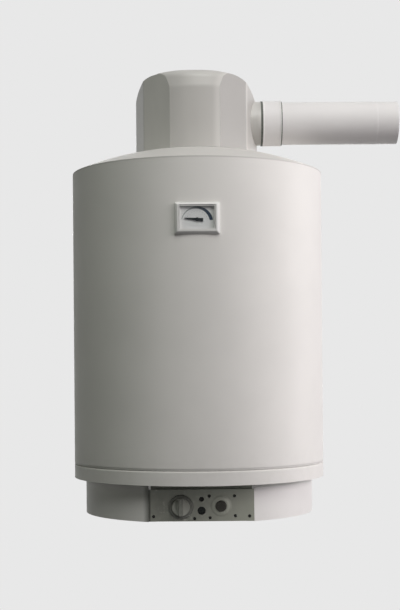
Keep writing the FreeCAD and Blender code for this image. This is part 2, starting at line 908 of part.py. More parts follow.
def inset(points, distance):
    """A convex outline moved inwards, each corner along the line that halves it."""
    moved = []
    for index, (across, up) in enumerate(points):
        sides = []
        for near, far in ((index - 1, index), (index, (index + 1) % len(points))):
            run = [size(b).value - size(a).value for a, b in zip(points[near], points[far])]
            sides.append((-run[1] / math.hypot(*run), run[0] / math.hypot(*run)))
        share = 1 + sides[0][0] * sides[1][0] + sides[0][1] * sides[1][1]
        moved.append((across + distance * ((sides[0][0] + sides[1][0]) / share),
                      up + distance * ((sides[0][1] + sides[1][1]) / share)))
    return moved


def hood_side(front, shoulder):
    """One side of the hood's plan, from its front to its back."""
    return [(front, -dim.hood_depth), (shoulder, -dim.hood_shoulder_depth),
            (dim.hood_half_width, size(0)), (shoulder, dim.hood_shoulder_depth),
            (front, dim.hood_depth)]


def hood_solid(name, gap):
    """The hood's form, inset by a gap: upright facets and a curved front, under an arched top."""
    plan = hood_side(dim.hood_front_right, dim.hood_shoulder_right)
    plan += [(-x, y) for x, y in hood_side(dim.hood_front_left, dim.hood_shoulder_left)[::-1]]
    facets = padded(f"{name}_facets", "XY_Plane", jacket_top, dim.hood_height,
                    outlines=[inset(plan, size(gap))])
    round_upright_edges(facets, dim.hood_edge_radius - gap)
    width, depth = dim.hood_half_width - gap, dim.hood_depth - gap
    arch, corner = dim.hood_arch_radius - gap, dim.hood_corner_radius - gap
    peak = jacket_top + dim.hood_height - gap
    eaves = peak - dim.hood_crown
    crown = cap_radius((width * 2 - arch - corner) / 2, dim.hood_crown)
    arch_outline = [
        (-width, jacket_top), (width, jacket_top), (width, eaves - arch, arch),
        (width - arch, eaves, crown), (corner - width, eaves, corner), (-width, eaves - corner)]
    arched = padded(f"{name}_arch", "XZ_Plane", -depth - gap, (depth + gap) * 2, outlines=[arch_outline])
    tilt = math.radians(dim.brow_tilt.value)
    cosine, sine = math.cos(tilt), math.sin(tilt)
    foot, top = dim.brow_foot_radius - gap, dim.brow_top_radius - gap
    front = dim.hood_front_radius - gap
    high = peak - top * (1 - sine)
    low = high - dim.brow_length * cosine
    near = front - foot * (1 - cosine)
    far = near - dim.brow_length * sine
    curved = turned(f"{name}_front", [
        (0, jacket_top), (front, jacket_top), (front, low - foot * sine, foot), (near, low),
        (far, high, top), (far - top * cosine, peak), (0, peak)])
    set_place(curved, (dim.hood_front_right - dim.hood_front_left) / 2,
              dim.hood_depth - dim.hood_front_radius)
    backed = padded(f"{name}_back", "YZ_Plane", -width - gap, (width + gap) * 2, outlines=[[
        (-depth, jacket_top), (depth, jacket_top), (depth, peak - top, top), (depth - top, peak),
        (-depth, peak)]])
    return common(f"{name}_solid", facets, arched, curved, backed)


def make_hood():
    outer, inner = hood_solid("hood_outer", size(0)), hood_solid("hood_inner", dim.hood_wall)
    ball = doc.addObject("Part::Sphere", "hood_seat")
    bind(ball, "Radius", lid_ball + dim.seat_gap)
    bind(ball, "Placement.Base.z", lid_centre)
    hole = rod("hood_outlet_hole", stub_bore + dim.stub_wall + dim.running_gap, dim.hood_half_width,
               across=stub_start - OUTSIDE, height=outlet_centre, turn=RIGHTWARD)
    finish("hood", cut("hood", outer, inner, ball, hole))


# Concentric outlet, drawn along its own axis with the height as the distance to the right

def finish_outlet(label, piece):
    finish(label, piece, height=outlet_centre, turn=RIGHTWARD)


def make_outlet_rings():
    wall = dim.stub_wall
    finish_outlet("outlet_stub", turned("outlet_stub", tube_outline(
        stub_bore, stub_bore + wall, stub_start, stub_end)))
    finish_outlet("stub_seal", turned("stub_seal", tube_outline(
        stub_bore, stub_bore + dim.seal_wall, stub_end, seal_end)))
    finish_outlet("collar_lip", turned("collar_lip", tube_outline(
        stub_bore, stub_bore + dim.lip_wall, collar_end, collar_end + dim.lip_width)))


def make_clamp_collar():
    """A split band with a raised bead at each edge and two lugs at the back for its screw."""
    outside = stub_bore + dim.collar_wall
    bead = dim.collar_bead
    start, end = seal_end, collar_end
    band = turned("collar_band", [
        (stub_bore, start), (outside + bead, start), (outside + bead, start + bead * 3),
        (outside, start + bead * 4), (outside, end - bead * 4), (outside + bead, end - bead * 3),
        (outside + bead, end), (stub_bore, end)])
    middle, half = (start + end) / 2, dim.clamp_lug_half_width
    lugs = padded("collar_lugs", "YZ_Plane", -half, half * 2,
                  outlines=[rectangle(outside - dim.collar_wall / 2, outside + dim.clamp_lug,
                                      middle - half, middle + half)])
    split = padded("collar_split", "YZ_Plane", -dim.collar_bead * 2, dim.collar_bead * 4,
                   outlines=[rectangle(dim.air_pipe_radius / 2, outside + OUTSIDE,
                                       start - OUTSIDE, end + OUTSIDE)])
    screw_at = outside + dim.clamp_lug / 2
    hole = padded("collar_screw_hole", "YZ_Plane", -half - OUTSIDE, (half + OUTSIDE) * 2,
                  circles=[(screw_at, middle, dim.clamp_screw_radius + dim.running_gap)])
    finish_outlet("clamp_collar", cut("clamp_collar", fuse("collar_whole", band, lugs), split, hole))
    radius = dim.clamp_screw_radius
    shank = padded("collar_screw", "YZ_Plane", -half - radius, half * 2 + radius,
                   circles=[(screw_at, middle, radius)])
    add_pad(shank, "YZ_Plane", half, radius, circles=[(screw_at, middle, dim.clamp_screw_head)])
    finish_outlet("collar_screw", shank)


def spigot(outside, wall):
    """A pipe's end, drawn in a little so that the next pipe's socket slides on as far as the step."""
    seat, step, slope = dim.outlet_reach - dim.spigot_length, dim.spigot_step, dim.spigot_slope
    inside = outside - wall
    return [(outside, seat - slope), (outside - step, seat), (outside - step, dim.outlet_reach),
            (inside - step, dim.outlet_reach), (inside - step, seat - slope),
            (inside, seat - slope * 2)]


def make_pipes():
    outside, wall = dim.air_pipe_radius, dim.air_pipe_wall
    start = stub_end - dim.air_pipe_overlap
    finish_outlet("air_pipe", turned("air_pipe", [
        (outside - wall, start), (outside, start), *spigot(outside, wall)]))
    radius, thin = dim.exhaust_radius, dim.exhaust_wall
    socket = radius + dim.seat_gap
    seat = elbow_end + dim.seat_gap
    finish_outlet("exhaust_pipe", turned("exhaust_pipe", [
        (socket, elbow_end - dim.socket_length), (socket + thin, elbow_end - dim.socket_length),
        (socket + thin, seat + thin), (radius, seat + thin), *spigot(radius, thin),
        (radius - thin, seat), (socket, seat)]))
    copies = []
    for step in range(2):
        start = dim.outlet_reach - dim.spacer_inset - dim.spacer_pitch * step
        hub = radius + dim.running_gap
        spacer = padded(f"spacer_{step + 1}", "XY_Plane", start, dim.spacer_width,
                        circles=[(0, 0, hub + dim.spacer_wall), (0, 0, hub)])
        fin = add_pad(spacer, "XY_Plane", start, dim.spacer_width, outlines=[rectangle(
            -dim.spacer_wall / 2, dim.spacer_wall / 2, hub + dim.spacer_wall / 2,
            outside - wall - dim.running_gap * 2)])
        repeat_round(spacer, fin, dim.spacer_fin_count)
        copies.append(spacer)
    finish_outlet("pipe_spacers", group("pipe_spacers", *copies))


def make_flue_elbow():
    radius, bend = dim.exhaust_radius, dim.bend_radius
    finish("flue_elbow", piped("flue_elbow", "XZ_Plane", 0, [
        (0, cone_top + dim.seat_gap), (0, outlet_centre - bend, -bend), (bend, outlet_centre),
        (elbow_end, outlet_centre)], radius, bore=radius - dim.exhaust_wall))


def make_flue_collector():
    """The cone that gathers the burnt gas from the tank's flue into the elbow."""
    wide, narrow = dim.flue_radius + dim.seat_gap, dim.exhaust_radius + dim.seat_gap
    wall = dim.collector_wall
    finish("flue_collector", turned("flue_collector", [
        (wide, collector_bottom), (wide + wall, collector_bottom), (wide + wall, cone_bottom),
        (narrow + wall, cone_top), (narrow + wall, cone_top + dim.socket_length),
        (narrow, cone_top + dim.socket_length), (narrow, cone_top), (wide, cone_bottom)]))


# Tank and flue

def make_tank():
    wall, radius = dim.tank_wall, tank_radius
    low = tank_bottom
    under = tank_base_ball + wall
    over = tank_top_ball - wall
    flat_edge = leg(under, low + wall - tank_base_centre)
    inner = radius - wall
    shell = turned("tank_shell", [
        (flue_hole, tank_base_centre + leg(tank_base_ball, flue_hole), -tank_base_ball),
        (tank_base_radius, low), (radius, low), (radius, tank_shoulder, tank_top_ball),
        (flue_hole, tank_top_centre + leg(tank_top_ball, flue_hole)),
        (flue_hole, tank_top_centre + leg(over, flue_hole), -over),
        (inner, tank_top_centre + leg(over, inner)), (inner, low + wall),
        (flat_edge, low + wall, under), (flue_hole, tank_base_centre + leg(under, flue_hole))])
    boss_depth = dim.anode_boss_height / 2
    boss = rod("anode_boss", dim.anode_boss_radius, boss_depth, across=-dim.anode_offset,
               height=anode_seat - boss_depth)
    gap = dim.running_gap
    holes = [rod("anode_hole", dim.anode_radius + gap, dim.tank_height, across=-dim.anode_offset,
                 height=tank_shoulder),
             rod("pocket_hole", dim.pocket_radius + gap, radius, forward=radius / 2,
                 height=pivot_height, turn=FORWARD),
             rod("bulb_hole", dim.bulb_radius + gap, dim.bulb_rise, across=knob_across,
                 forward=bulb_forward, height=low - OUTSIDE)]
    for side in (-1, 1):
        holes.append(rod("pipe_hole", dim.water_pipe_radius + gap, OUTSIDE * 2,
                         across=dim.water_pipe_half_spacing * side, forward=-water_pipe_back,
                         height=low - OUTSIDE))
    finish("tank", cut("tank", fuse("tank_with_boss", shell, boss), *holes))


def make_flue_tube():
    finish("flue_tube", turned("flue_tube", tube_outline(
        dim.flue_radius - dim.flue_wall, dim.flue_radius, flue_bottom, flue_top)))


def make_flue_baffle():
    """A folded strip that hangs in the flue by a cross bar on the tube's upper edge."""
    folds = int(dim.baffle_fold_count.value)
    pitch = (flue_top - flue_bottom) / (folds + 2)
    half = dim.baffle_wall / 2
    middles = [(size(0), flue_top + half)]
    for step in range(1, folds + 1):
        middles.append((dim.baffle_swing * (1 if step % 2 else -1), flue_top - pitch * step))
    strip = [(x - half, z) for x, z in middles] + [(x + half, z) for x, z in middles[::-1]]
    folded = padded("baffle_strip", "XZ_Plane", -dim.baffle_half_width, dim.baffle_half_width * 2,
                    outlines=[strip])
    reach = dim.flue_radius - dim.baffle_wall / 2
    bar = box("baffle_bar", -reach, reach, dim.baffle_bar / 2, -dim.baffle_bar / 2,
              flue_top, flue_top + dim.baffle_bar)
    finish("flue_baffle", fuse("flue_baffle", folded, bar))


def make_water_pipes():
    for label, side, top in (("cold", 1, tank_bottom + dim.cold_pipe_rise),
                             ("hot", -1, tank_shoulder - dim.hot_pipe_head_gap)):
        place = {"across": dim.water_pipe_half_spacing * side, "forward": -water_pipe_back}
        pipe = turned(f"{label}_pipe", [
            (dim.water_pipe_bore, pipe_end), (dim.thread_radius, pipe_end),
            (dim.thread_radius, pipe_end + dim.thread_length),
            (dim.water_pipe_radius, pipe_end + dim.thread_length), (dim.water_pipe_radius, top),
            (dim.water_pipe_bore, top)])
        finish(f"{label}_pipe", pipe, **place)
        inside = dim.water_pipe_radius + dim.running_gap
        mark = turned(f"{label}_mark_ring", tube_outline(
            inside, inside + dim.mark_ring_wall, skirt_top - dim.mark_ring_height, skirt_top))
        finish(f"{label}_mark_ring", mark, **place)


def make_anode():
    anode = padded("anode", "XY_Plane", anode_seat - dim.anode_length, dim.anode_length,
                   circles=[(0, 0, dim.anode_radius)])
    add_pad(anode, "XY_Plane", anode_seat, dim.anode_head_height, [hexagon(dim.anode_head_flats)])
    finish("anode", anode, across=-dim.anode_offset)


def make_sensor_pocket():
    """The blind tube through the tank's wall that the thermometer's probe slides into."""
    inside = dim.probe_radius + dim.running_gap
    wall = dim.pocket_radius - inside
    front = tank_radius + dim.tank_wall
    finish("sensor_pocket", turned("sensor_pocket", [
        (0, probe_tip - wall * 2), (dim.pocket_radius, probe_tip - wall * 2),
        (dim.pocket_radius, front), (inside, front), (inside, probe_tip - wall),
        (0, probe_tip - wall)]), height=pivot_height, turn=FORWARD)


def duct_outline(inside, outside, angle):
    """A curved slot round the back of the axis."""
    left, top = -sine(angle), cosine(angle)
    return [(outside * left, outside * top, -outside), (-outside * left, outside * top),
            (-inside * left, inside * top, inside), (inside * left, inside * top)]


def make_air_duct():
    wall = dim.duct_wall
    inner_angle = dim.duct_half_angle - wall / duct_outside * RADIAN
    finish("air_duct", padded("air_duct", "XY_Plane", dim.duct_bottom, foam_top - dim.duct_bottom, [
        duct_outline(duct_inside, duct_outside, dim.duct_half_angle),
        duct_outline(duct_inside + wall, duct_outside - wall, inner_angle)]))


def duct_slot(name):
    gap_angle = dim.duct_half_angle + dim.seat_gap / duct_inside * RADIAN
    return padded(name, "XY_Plane", 0, jacket_top, [
        duct_outline(duct_inside - dim.seat_gap, dim.jacket_radius + OUTSIDE, gap_angle)])


def make_side_insulation():
    gap = dim.seat_gap
    shell = turned("side_foam", tube_outline(foam_inside, foam_outside, tank_bottom, tank_shoulder))
    recess = box("gauge_recess", -case_half_width - gap, case_half_width + gap,
                 dim.jacket_radius + OUTSIDE, case_back - gap,
                 gauge_centre - case_half_height - gap, gauge_centre + case_half_height + gap)
    channel = rod("probe_channel", dim.pocket_radius + gap, tank_radius / 2,
                  forward=tank_radius - OUTSIDE, height=pivot_height, turn=FORWARD)
    slots = [hanger_slot("foam_slot", side) for side in (-1, 1)]
    finish("side_insulation", cut("side_insulation", shell, recess, channel, duct_slot("side_duct_slot"),
                                  *slots))


def make_top_insulation():
    hole = dim.flue_radius + dim.collector_wall + dim.seat_gap * 3
    gap = dim.seat_gap
    block = turned("top_foam", [
        (hole, top_dome(hole, gap), -(tank_top_ball + gap)),
        (tank_radius, top_dome(tank_radius, gap)),
        (foam_inside, tank_shoulder), (foam_outside, tank_shoulder), (foam_outside, foam_top),
        (hole, foam_top)])
    well = rod("anode_well", dim.anode_boss_radius + gap, dim.tank_height, across=-dim.anode_offset,
               height=tank_shoulder)
    finish("top_insulation", cut("top_insulation", block, well, duct_slot("top_duct_slot")))


# Wall fixings

def make_hanger():
    """The bar on the wall, with two legs that pass through the jacket to the tank."""
    half, wall = dim.hanger_half_length, dim.hanger_wall
    low, high = hook_height - dim.hanger_height / 2, hook_height + dim.hanger_height / 2
    wall_face, front = -axis_to_wall, dim.hanger_depth - axis_to_wall
    channel = box("hanger_block", -half, half, front, wall_face, low, high)
    hollow = box("hanger_hollow", -half - OUTSIDE, half + OUTSIDE, front + OUTSIDE, wall_face + wall,
                 low + wall, high - wall)
    round_cut = rod("hanger_round", dim.jacket_radius + dim.seat_gap, jacket_top)
    bar = cut("hanger_bar", channel, hollow, round_cut)
    tank_cut = rod("hanger_tank_cut", foam_inside, jacket_top)
    legs = []
    for side in (-1, 1):
        middle = dim.hanger_leg_offset * side
        block = box("hanger_leg_block", middle - dim.hanger_leg_wall / 2, middle + dim.hanger_leg_wall / 2,
                    OUTSIDE - tank_radius, wall_face + wall / 2, low, high)
        legs.append(cut("hanger_leg", block, tank_cut))
    holes = [rod("hook_hole", dim.hook_hole_radius, OUTSIDE * 2, across=dim.hook_half_spacing * side,
                 forward=-axis_to_wall - OUTSIDE, height=hook_height, turn=FORWARD) for side in (-1, 1)]
    finish("hanger", cut("hanger", fuse("hanger_whole", bar, *legs), *holes))


def make_lower_spacer():
    """A channel that keeps the casing's foot off the wall, with two tabs into the jacket."""
    half, wall = dim.spacer_half_length, dim.hanger_wall
    middle = jacket_bottom + dim.spacer_height
    low, high = middle - dim.spacer_face / 2, middle + dim.spacer_face / 2
    block = box("spacer_block", -half, half, -dim.jacket_radius / 2, -axis_to_wall, low, high)
    hollow = box("spacer_hollow", -half - OUTSIDE, half + OUTSIDE, 0, wall - axis_to_wall,
                 low + wall, high - wall)
    round_cut = rod("spacer_round", dim.jacket_radius + dim.seat_gap, jacket_top)
    channel = cut("spacer_channel", block, hollow, round_cut)
    posts = [box("spacer_post", half * side / 2 - wall, half * side / 2 + wall,
                 -dim.jacket_radius - dim.wall_gap / 3, wall / 2 - axis_to_wall, low, high)
             for side in (-1, 1)]
    tabs = [spacer_tab("spacer_tab", side, size(0)) for side in (-1, 1)]
    finish("lower_spacer", fuse("lower_spacer", channel, *posts, *tabs))


# Thermometer

def gauge_rectangle(half_width, half_height, radius=0):
    low, high = gauge_centre - half_height, gauge_centre + half_height
    if not size(radius).value:
        return rectangle(-half_width, half_width, low, high)
    return rounded(-half_width, half_width, low, high, radius)


def make_bezel():
    """The frame on the jacket, hollowed behind to the jacket's curve."""
    start = dim.jacket_radius - dim.bezel_proud
    frame = padded("bezel_frame", "XZ_Plane", start, bezel_front - start, [
        gauge_rectangle(dim.bezel_width / 2, dim.bezel_height / 2, dim.bezel_corner),
        gauge_rectangle(gauge_half_width, gauge_half_height)])
    bevel_front_edges(frame)
    curve = rod("bezel_curve", dim.jacket_radius + dim.running_gap, jacket_top)
    finish("thermometer_bezel", cut("thermometer_bezel", frame, curve))


def front_edges(shape, inner):
    """The names of the frame's front edges, those round the opening or those round the outside."""
    names = []
    halfway = dim.bezel_rim_height.value / 2
    for number, edge in enumerate(shape.Edges, start=1):
        limits = edge.BoundBox
        in_front = abs(limits.YMax + bezel_front.value) < 0.01
        spare_width = gauge_half_width.value + halfway - max(-limits.XMin, limits.XMax)
        spare_height = gauge_half_height.value + halfway - max(
            limits.ZMax - gauge_centre.value, gauge_centre.value - limits.ZMin)
        if in_front and (min(spare_width, spare_height) > 0) == inner:
            names.append(f"Edge{number}")
    return names


def bevel_front_edges(frame):
    """A sloped edge round the opening and a round outer edge, both at the front."""
    for kind, path, amount, inner in (("Chamfer", "Size", dim.bezel_bevel, True),
                                      ("Fillet", "Radius", dim.bezel_round, False)):
        doc.recompute()
        tip = frame.Tip
        feature = frame.newObject(f"PartDesign::{kind}", f"bezel_{kind.lower()}")
        feature.Base = (tip, front_edges(tip.Shape, inner))
        bind(feature, path, amount)
        frame.Tip = feature


def make_gauge_case():
    wall, gap = dim.gauge_case_wall, dim.running_gap
    case = padded("thermometer_case", "XZ_Plane", case_back, dim.gauge_depth,
                  [gauge_rectangle(case_half_width, case_half_height)])
    add_pocket(case, "XZ_Plane", case_back + wall, dim.gauge_depth,
               [gauge_rectangle(case_half_width - wall, case_half_height - wall)])
    add_pocket(case, "XZ_Plane", case_back - wall, wall * 3,
               circles=[(0, pivot_height, dim.probe_radius + gap)])
    finish("thermometer_case", case)
    face = gauge_rectangle(case_half_width - wall - gap, case_half_height - wall - gap)
    finish("lens", padded("lens", "XZ_Plane", lens_front - dim.lens_wall, dim.lens_wall, [face]))
    finish("dial", padded("dial", "XZ_Plane", dial_front - dim.dial_wall, dim.dial_wall, [face],
                          [(0, pivot_height, dim.spindle_radius + gap)]))


def make_movement():
    bore = dim.spindle_radius + dim.running_gap
    depth = dim.movement_depth / 2
    finish("movement", turned("movement", [
        (0, movement_back), (dim.movement_radius, movement_back), (dim.movement_radius, movement_front),
        (bore, movement_front), (bore, movement_front - depth), (0, movement_front - depth)]),
        height=pivot_height, turn=FORWARD)
    finish("probe", rod("probe", dim.probe_radius, dim.probe_length),
           forward=probe_tip, height=pivot_height, turn=FORWARD)


def make_needle():
    """The pointer with its spindle, drawn pointing left and then tilted about the spindle."""
    tail, tip = dim.needle_half_width, dim.needle_tip_half_width
    pointer = padded("needle_pointer", "XY_Plane", needle_back, dim.needle_wall, [[
        (-dim.needle_tip, -tip), (dim.needle_tail, -tail), (dim.needle_tail, tail),
        (-dim.needle_tip, tip)]])
    hub = rod("needle_hub", dim.needle_hub, dim.needle_hub_height, height=needle_back)
    spindle_length = dim.needle_gap + dim.dial_wall + dim.movement_depth / 3
    spindle = rod("needle_spindle", dim.spindle_radius, spindle_length + dim.needle_wall / 2,
                  height=needle_back - spindle_length)
    tilt = FreeCAD.Rotation(FreeCAD.Vector(0, 0, 1), -dim.needle_tilt.value)
    finish("needle", fuse("needle", pointer, hub, spindle), height=pivot_height,
           turn=FORWARD.multiply(tilt))


# Control panel

def make_control_panel():
    """The plate in the skirt's window, with a raised field, a boss and its holes."""
    left, right = panel_left, panel_right
    low, high, wall = dim.panel_bottom, dim.panel_top, dim.panel_wall
    shift = dim.panel_shift
    plate = padded("panel_plate", "XZ_Plane", panel_back, wall, [rectangle(left, right, low, high)])
    add_pad(plate, "XZ_Plane", panel_front, dim.field_raise, [rectangle(
        shift - dim.field_left, shift + dim.field_right, low, high)])
    crest, foot = dim.boss_crest, dim.boss_radius
    boss = turned("panel_boss", [
        (dim.button_radius, panel_front), (foot, panel_front), (foot, field_front),
        (crest, field_front + dim.boss_raise), (dim.button_radius, field_front + dim.boss_raise)])
    set_place(boss, button_across, 0, dim.igniter_height, FORWARD)
    jamb = dim.jamb_width + dim.window_gap + dim.seat_gap
    return_back = panel_back - dim.panel_return
    lips = [box("panel_lip", left + jamb, right - jamb, panel_back, return_back,
                bottom, bottom + dim.jacket_wall) for bottom in (low, high - dim.jacket_wall)]
    lips.append(box("panel_upstand", left + wall, right - wall, return_back + dim.jacket_wall,
                    return_back, high - dim.jacket_wall, high + dim.upstand_height))
    holes = [(knob_across, dim.knob_height, dim.knob_radius + dim.knob_well_gap),
             (shift, dim.small_hole_height, dim.small_hole_radius),
             (shift, dim.sight_height, dim.sight_radius),
             (button_across, dim.igniter_height, dim.button_radius + dim.seat_gap)]
    holes += [(shift + across, height, dim.screw_radius + dim.running_gap)
              for across, height in panel_screws]
    drill = padded("panel_drill", "XZ_Plane", panel_back - dim.screw_length, wall + OUTSIDE,
                   circles=holes)
    finish("control_panel", cut("control_panel", fuse("panel_whole", plate, boss, *lips), drill))


def make_panel_screws():
    heads = []
    for number, (across, height) in enumerate(panel_screws, start=1):
        place = (dim.panel_shift + across, height)
        screw = padded(f"panel_screw_{number}", "XZ_Plane", panel_back + dim.screw_sink,
                       dim.panel_wall - dim.screw_sink * 2, circles=[(*place, dim.screw_radius)])
        add_pad(screw, "XZ_Plane", panel_back - dim.screw_length / 2,
                dim.screw_length / 2 + dim.screw_sink, circles=[(*place, dim.screw_shank)])
        heads.append(screw)
    finish("panel_screws", group("panel_screws", *heads))


def make_knob():
    """The gas knob: a rim, a raised disc and a grip bar, with the flatted rod that turns the cam."""
    radius, disc, back = dim.knob_radius, dim.knob_disc_radius, knob_back
    rim_front = back + dim.knob_rim_wall
    disc_front = rim_front + dim.knob_disc_raise
    round_edge = dim.knob_rim_wall / 5
    dish = turned("knob_dish", [
        (0, back), (radius, back), (radius, rim_front - round_edge), (radius - round_edge, rim_front),
        (disc, rim_front), (disc, disc_front - round_edge), (disc - round_edge, disc_front),
        (0, disc_front)])
    grip = padded("knob_grip", "XY_Plane", disc_front - round_edge,
                  dim.knob_grip_raise + round_edge, [rounded(
                      -dim.knob_grip_width / 2, dim.knob_grip_width / 2, -dim.knob_grip_length / 2,
                      dim.knob_grip_length / 2, dim.knob_grip_width / 3)])
    whole_rod = rod("knob_rod_round", dim.rod_radius, dim.rod_length + round_edge, height=rod_end)
    flat = flat_cutter("knob_rod_flat", dim.rod_flat, rod_end)
    finish("knob", fuse("knob", dish, grip, cut("knob_rod", whole_rod, flat)),
           across=knob_across, height=dim.knob_height, turn=FORWARD)


def flat_cutter(name, distance, start):
    """A block that leaves a flat on the rod, or on the bore round it, above a distance."""
    length = knob_back - dim.knob_back_gap / 2 - start
    return padded(name, "XY_Plane", start - OUTSIDE, length + OUTSIDE, [
        rectangle(-dim.sleeve_radius, dim.sleeve_radius, distance, dim.sleeve_radius)])


def make_cam_sleeve():
    """The sleeve in the valve's neck that the knob's rod turns, and slides in."""
    barrel = rod("sleeve_barrel", dim.sleeve_radius, dim.sleeve_length, height=sleeve_back)
    bore = rod("sleeve_bore", dim.rod_radius + dim.running_gap, dim.sleeve_length + OUTSIDE * 2,
               height=sleeve_back - OUTSIDE)
    flat = padded("sleeve_flat", "XY_Plane", sleeve_back - OUTSIDE * 2, dim.sleeve_length + OUTSIDE * 4, [
        rectangle(-dim.sleeve_radius, dim.sleeve_radius, dim.rod_flat + dim.running_gap,
                  dim.sleeve_radius)])
    finish("cam_sleeve", cut("cam_sleeve", barrel, cut("sleeve_d_bore", bore, flat)),
           across=knob_across, height=dim.knob_height, turn=FORWARD)


def make_igniter():
    place = {"across": button_across, "height": dim.igniter_height, "turn": FORWARD}
    radius = dim.button_radius
    edge = dim.button_proud / 4
    stem = radius / 2
    head_back = button_front - dim.button_length / 2
    finish("igniter_button", turned("igniter_button", [
        (0, button_back), (stem, button_back), (stem, head_back), (radius, head_back),
        (radius, button_front - edge), (radius - edge, button_front), (0, button_front)]), **place)
    inside = radius + dim.seat_gap
    outside = inside + dim.barrel_wall
    back = behind_panel - dim.barrel_length
    floor = button_back - dim.button_travel - dim.seat_gap
    guide = stem + dim.running_gap
    shoulder = head_back - dim.button_travel - dim.seat_gap
    finish("piezo_body", turned("piezo_body", [
        (0, back), (outside, back), (outside, behind_panel), (inside, behind_panel), (inside, shoulder),
        (guide, shoulder), (guide, floor), (0, floor)]), **place)


def make_sight_tube():
    place = {"across": dim.panel_shift, "height": dim.sight_height, "turn": FORWARD}
    inside = dim.sight_radius + dim.running_gap
    start = behind_panel - dim.sight_length
    finish("sight_tube", turned("sight_tube", [
        (inside - dim.sight_wall, start), (inside + dim.sight_wall, start),
        (inside + dim.sight_wall, behind_panel), (inside, behind_panel), (inside, start + dim.sight_wall),
        (inside - dim.sight_wall, start + dim.sight_wall)]), **place)
    glass = rod("sight_glass", dim.sight_radius, dim.glass_wall)
    finish("sight_glass", glass, dim.panel_shift, start + dim.sight_wall, dim.sight_height, FORWARD)


# Gas valve and its pipes

def make_gas_valve():
    """The cast valve: body, screwed front cover, the knob's neck and the pressure governor's cap."""
    left, right = -dim.valve_left, dim.valve_right
    low, high, front = dim.valve_bottom, valve_top, valve_front
    inset = dim.valve_cover_inset
    body = padded("valve_block", "XY_Plane", low, dim.valve_height, [
        rounded(left, right, dim.valve_cover - front, -valve_back, dim.valve_corner)])
    cover = padded("valve_cover", "XZ_Plane", front - dim.valve_cover, dim.valve_cover, [
        rounded(left + inset, right - inset, low + inset, high - inset, dim.valve_cover_corner)])
    chamfer_front(cover, front, dim.valve_cover, dim.valve_cover_bevel)
    inset = dim.cover_screw_inset
    screws = [rod("cover_screw", dim.cover_screw_radius, dim.valve_cover + dim.cover_screw_raise,
                  across=across, forward=front - dim.valve_cover, height=height, turn=FORWARD)
              for across in (left + inset, right - inset) for height in (low + inset, high - inset)]
    governor = rod("governor_cap", dim.governor_radius, dim.governor_length + dim.valve_cover,
                   across=dim.governor_offset, forward=front - dim.valve_cover,
                   height=dim.governor_height, turn=FORWARD)
    neck = rod("valve_neck", dim.neck_radius, dim.neck_length + OUTSIDE,
               across=knob_across, forward=front - OUTSIDE, height=dim.knob_height, turn=FORWARD)
    gap = dim.running_gap
    sleeve_room = rod("valve_bore", dim.sleeve_radius + gap, dim.sleeve_length + OUTSIDE,
                      across=knob_across, forward=sleeve_back - gap, height=dim.knob_height,
                      turn=FORWARD)
    rod_room = dim.knob_travel + dim.seat_gap * 2
    rod_bore = rod("valve_rod_bore", dim.rod_radius + gap, rod_room + OUTSIDE, across=knob_across,
                   forward=rod_end - rod_room, height=dim.knob_height, turn=FORWARD)
    whole = fuse("valve_body", body, cover, *screws, governor, neck)
    finish("gas_valve", cut("gas_valve", whole, sleeve_room, rod_bore))


def union_nut(name, across, height, flats, length, bore):
    """A nut behind the valve, round the tube that it holds."""
    return padded(name, "XZ_Plane", valve_back - length, length,
                  [hexagon(flats, across, height)], [(across, height, bore)])


def make_valve_bracket():
    """A folded strip between the valve's top and the base plate."""
    wall, foot = dim.bracket_wall, dim.bracket_foot
    left = -dim.valve_left + wall
    finish("valve_bracket", padded("valve_bracket", "XZ_Plane", valve_back + foot / 2,
                                   dim.valve_depth / 2, [[
        (left, valve_top), (left + foot + wall, valve_top), (left + foot + wall, skirt_top - wall),
        (left + foot * 2, skirt_top - wall), (left + foot * 2, skirt_top), (left + foot, skirt_top),
        (left + foot, valve_top + wall), (left, valve_top + wall)]]))


def make_gas_pipes():
    bend, height = dim.inlet_bend, dim.inlet_height
    pipe = piped("inlet_pipe", "YZ_Plane", -dim.inlet_offset, [
        (-valve_back, height), (-dim.inlet_forward - bend, height, -bend),
        (-dim.inlet_forward, height - bend), (-dim.inlet_forward, pipe_end)],
        dim.water_pipe_radius, bore=dim.water_pipe_bore)
    mid_wall = (dim.water_pipe_bore + dim.water_pipe_radius) / 2
    thread = turned("inlet_thread", tube_outline(
        mid_wall, dim.thread_radius, pipe_end, pipe_end + dim.thread_length))
    set_place(thread, -dim.inlet_offset, dim.inlet_forward, 0)
    nut = union_nut("inlet_nut", -dim.inlet_offset, height, dim.pipe_nut_flats, dim.pipe_nut_length,
                    mid_wall)
    finish("gas_inlet", fuse("gas_inlet", pipe, thread, nut))
    bend, height = dim.feed_bend, dim.feed_height
    tube = piped("feed_tube", "YZ_Plane", 0, [
        (-valve_back, height), (-bend, height, bend), (0, height + bend),
        (0, door_bottom - dim.injector_below)], dim.feed_radius, bore=dim.feed_bore)
    nut = union_nut("feed_nut", 0, height, dim.feed_nut_flats, dim.pipe_nut_length,
                    (dim.feed_radius + dim.feed_bore) / 2)
    finish("gas_feed", fuse("gas_feed", tube, nut))
    low, high = door_bottom - dim.injector_below, gasket_bottom + dim.injector_above
    bore = dim.injector_bore
    finish("injector", turned("injector", [
        (bore, low), (dim.injector_radius, low), (dim.injector_radius, high - bore * 2),
        (dim.injector_radius - bore * 2, high), (bore, high)]))


def upright_lead(name, across, start, forward, height, radius):
    """A tube or lead from a piece at the front, back under the burner and up through the door."""
    bend = dim.lead_bend
    return piped(name, "YZ_Plane", across, [
        (-start, height), (-forward - bend, height, bend), (-forward, height + bend),
        (-forward, lead_end)], radius)


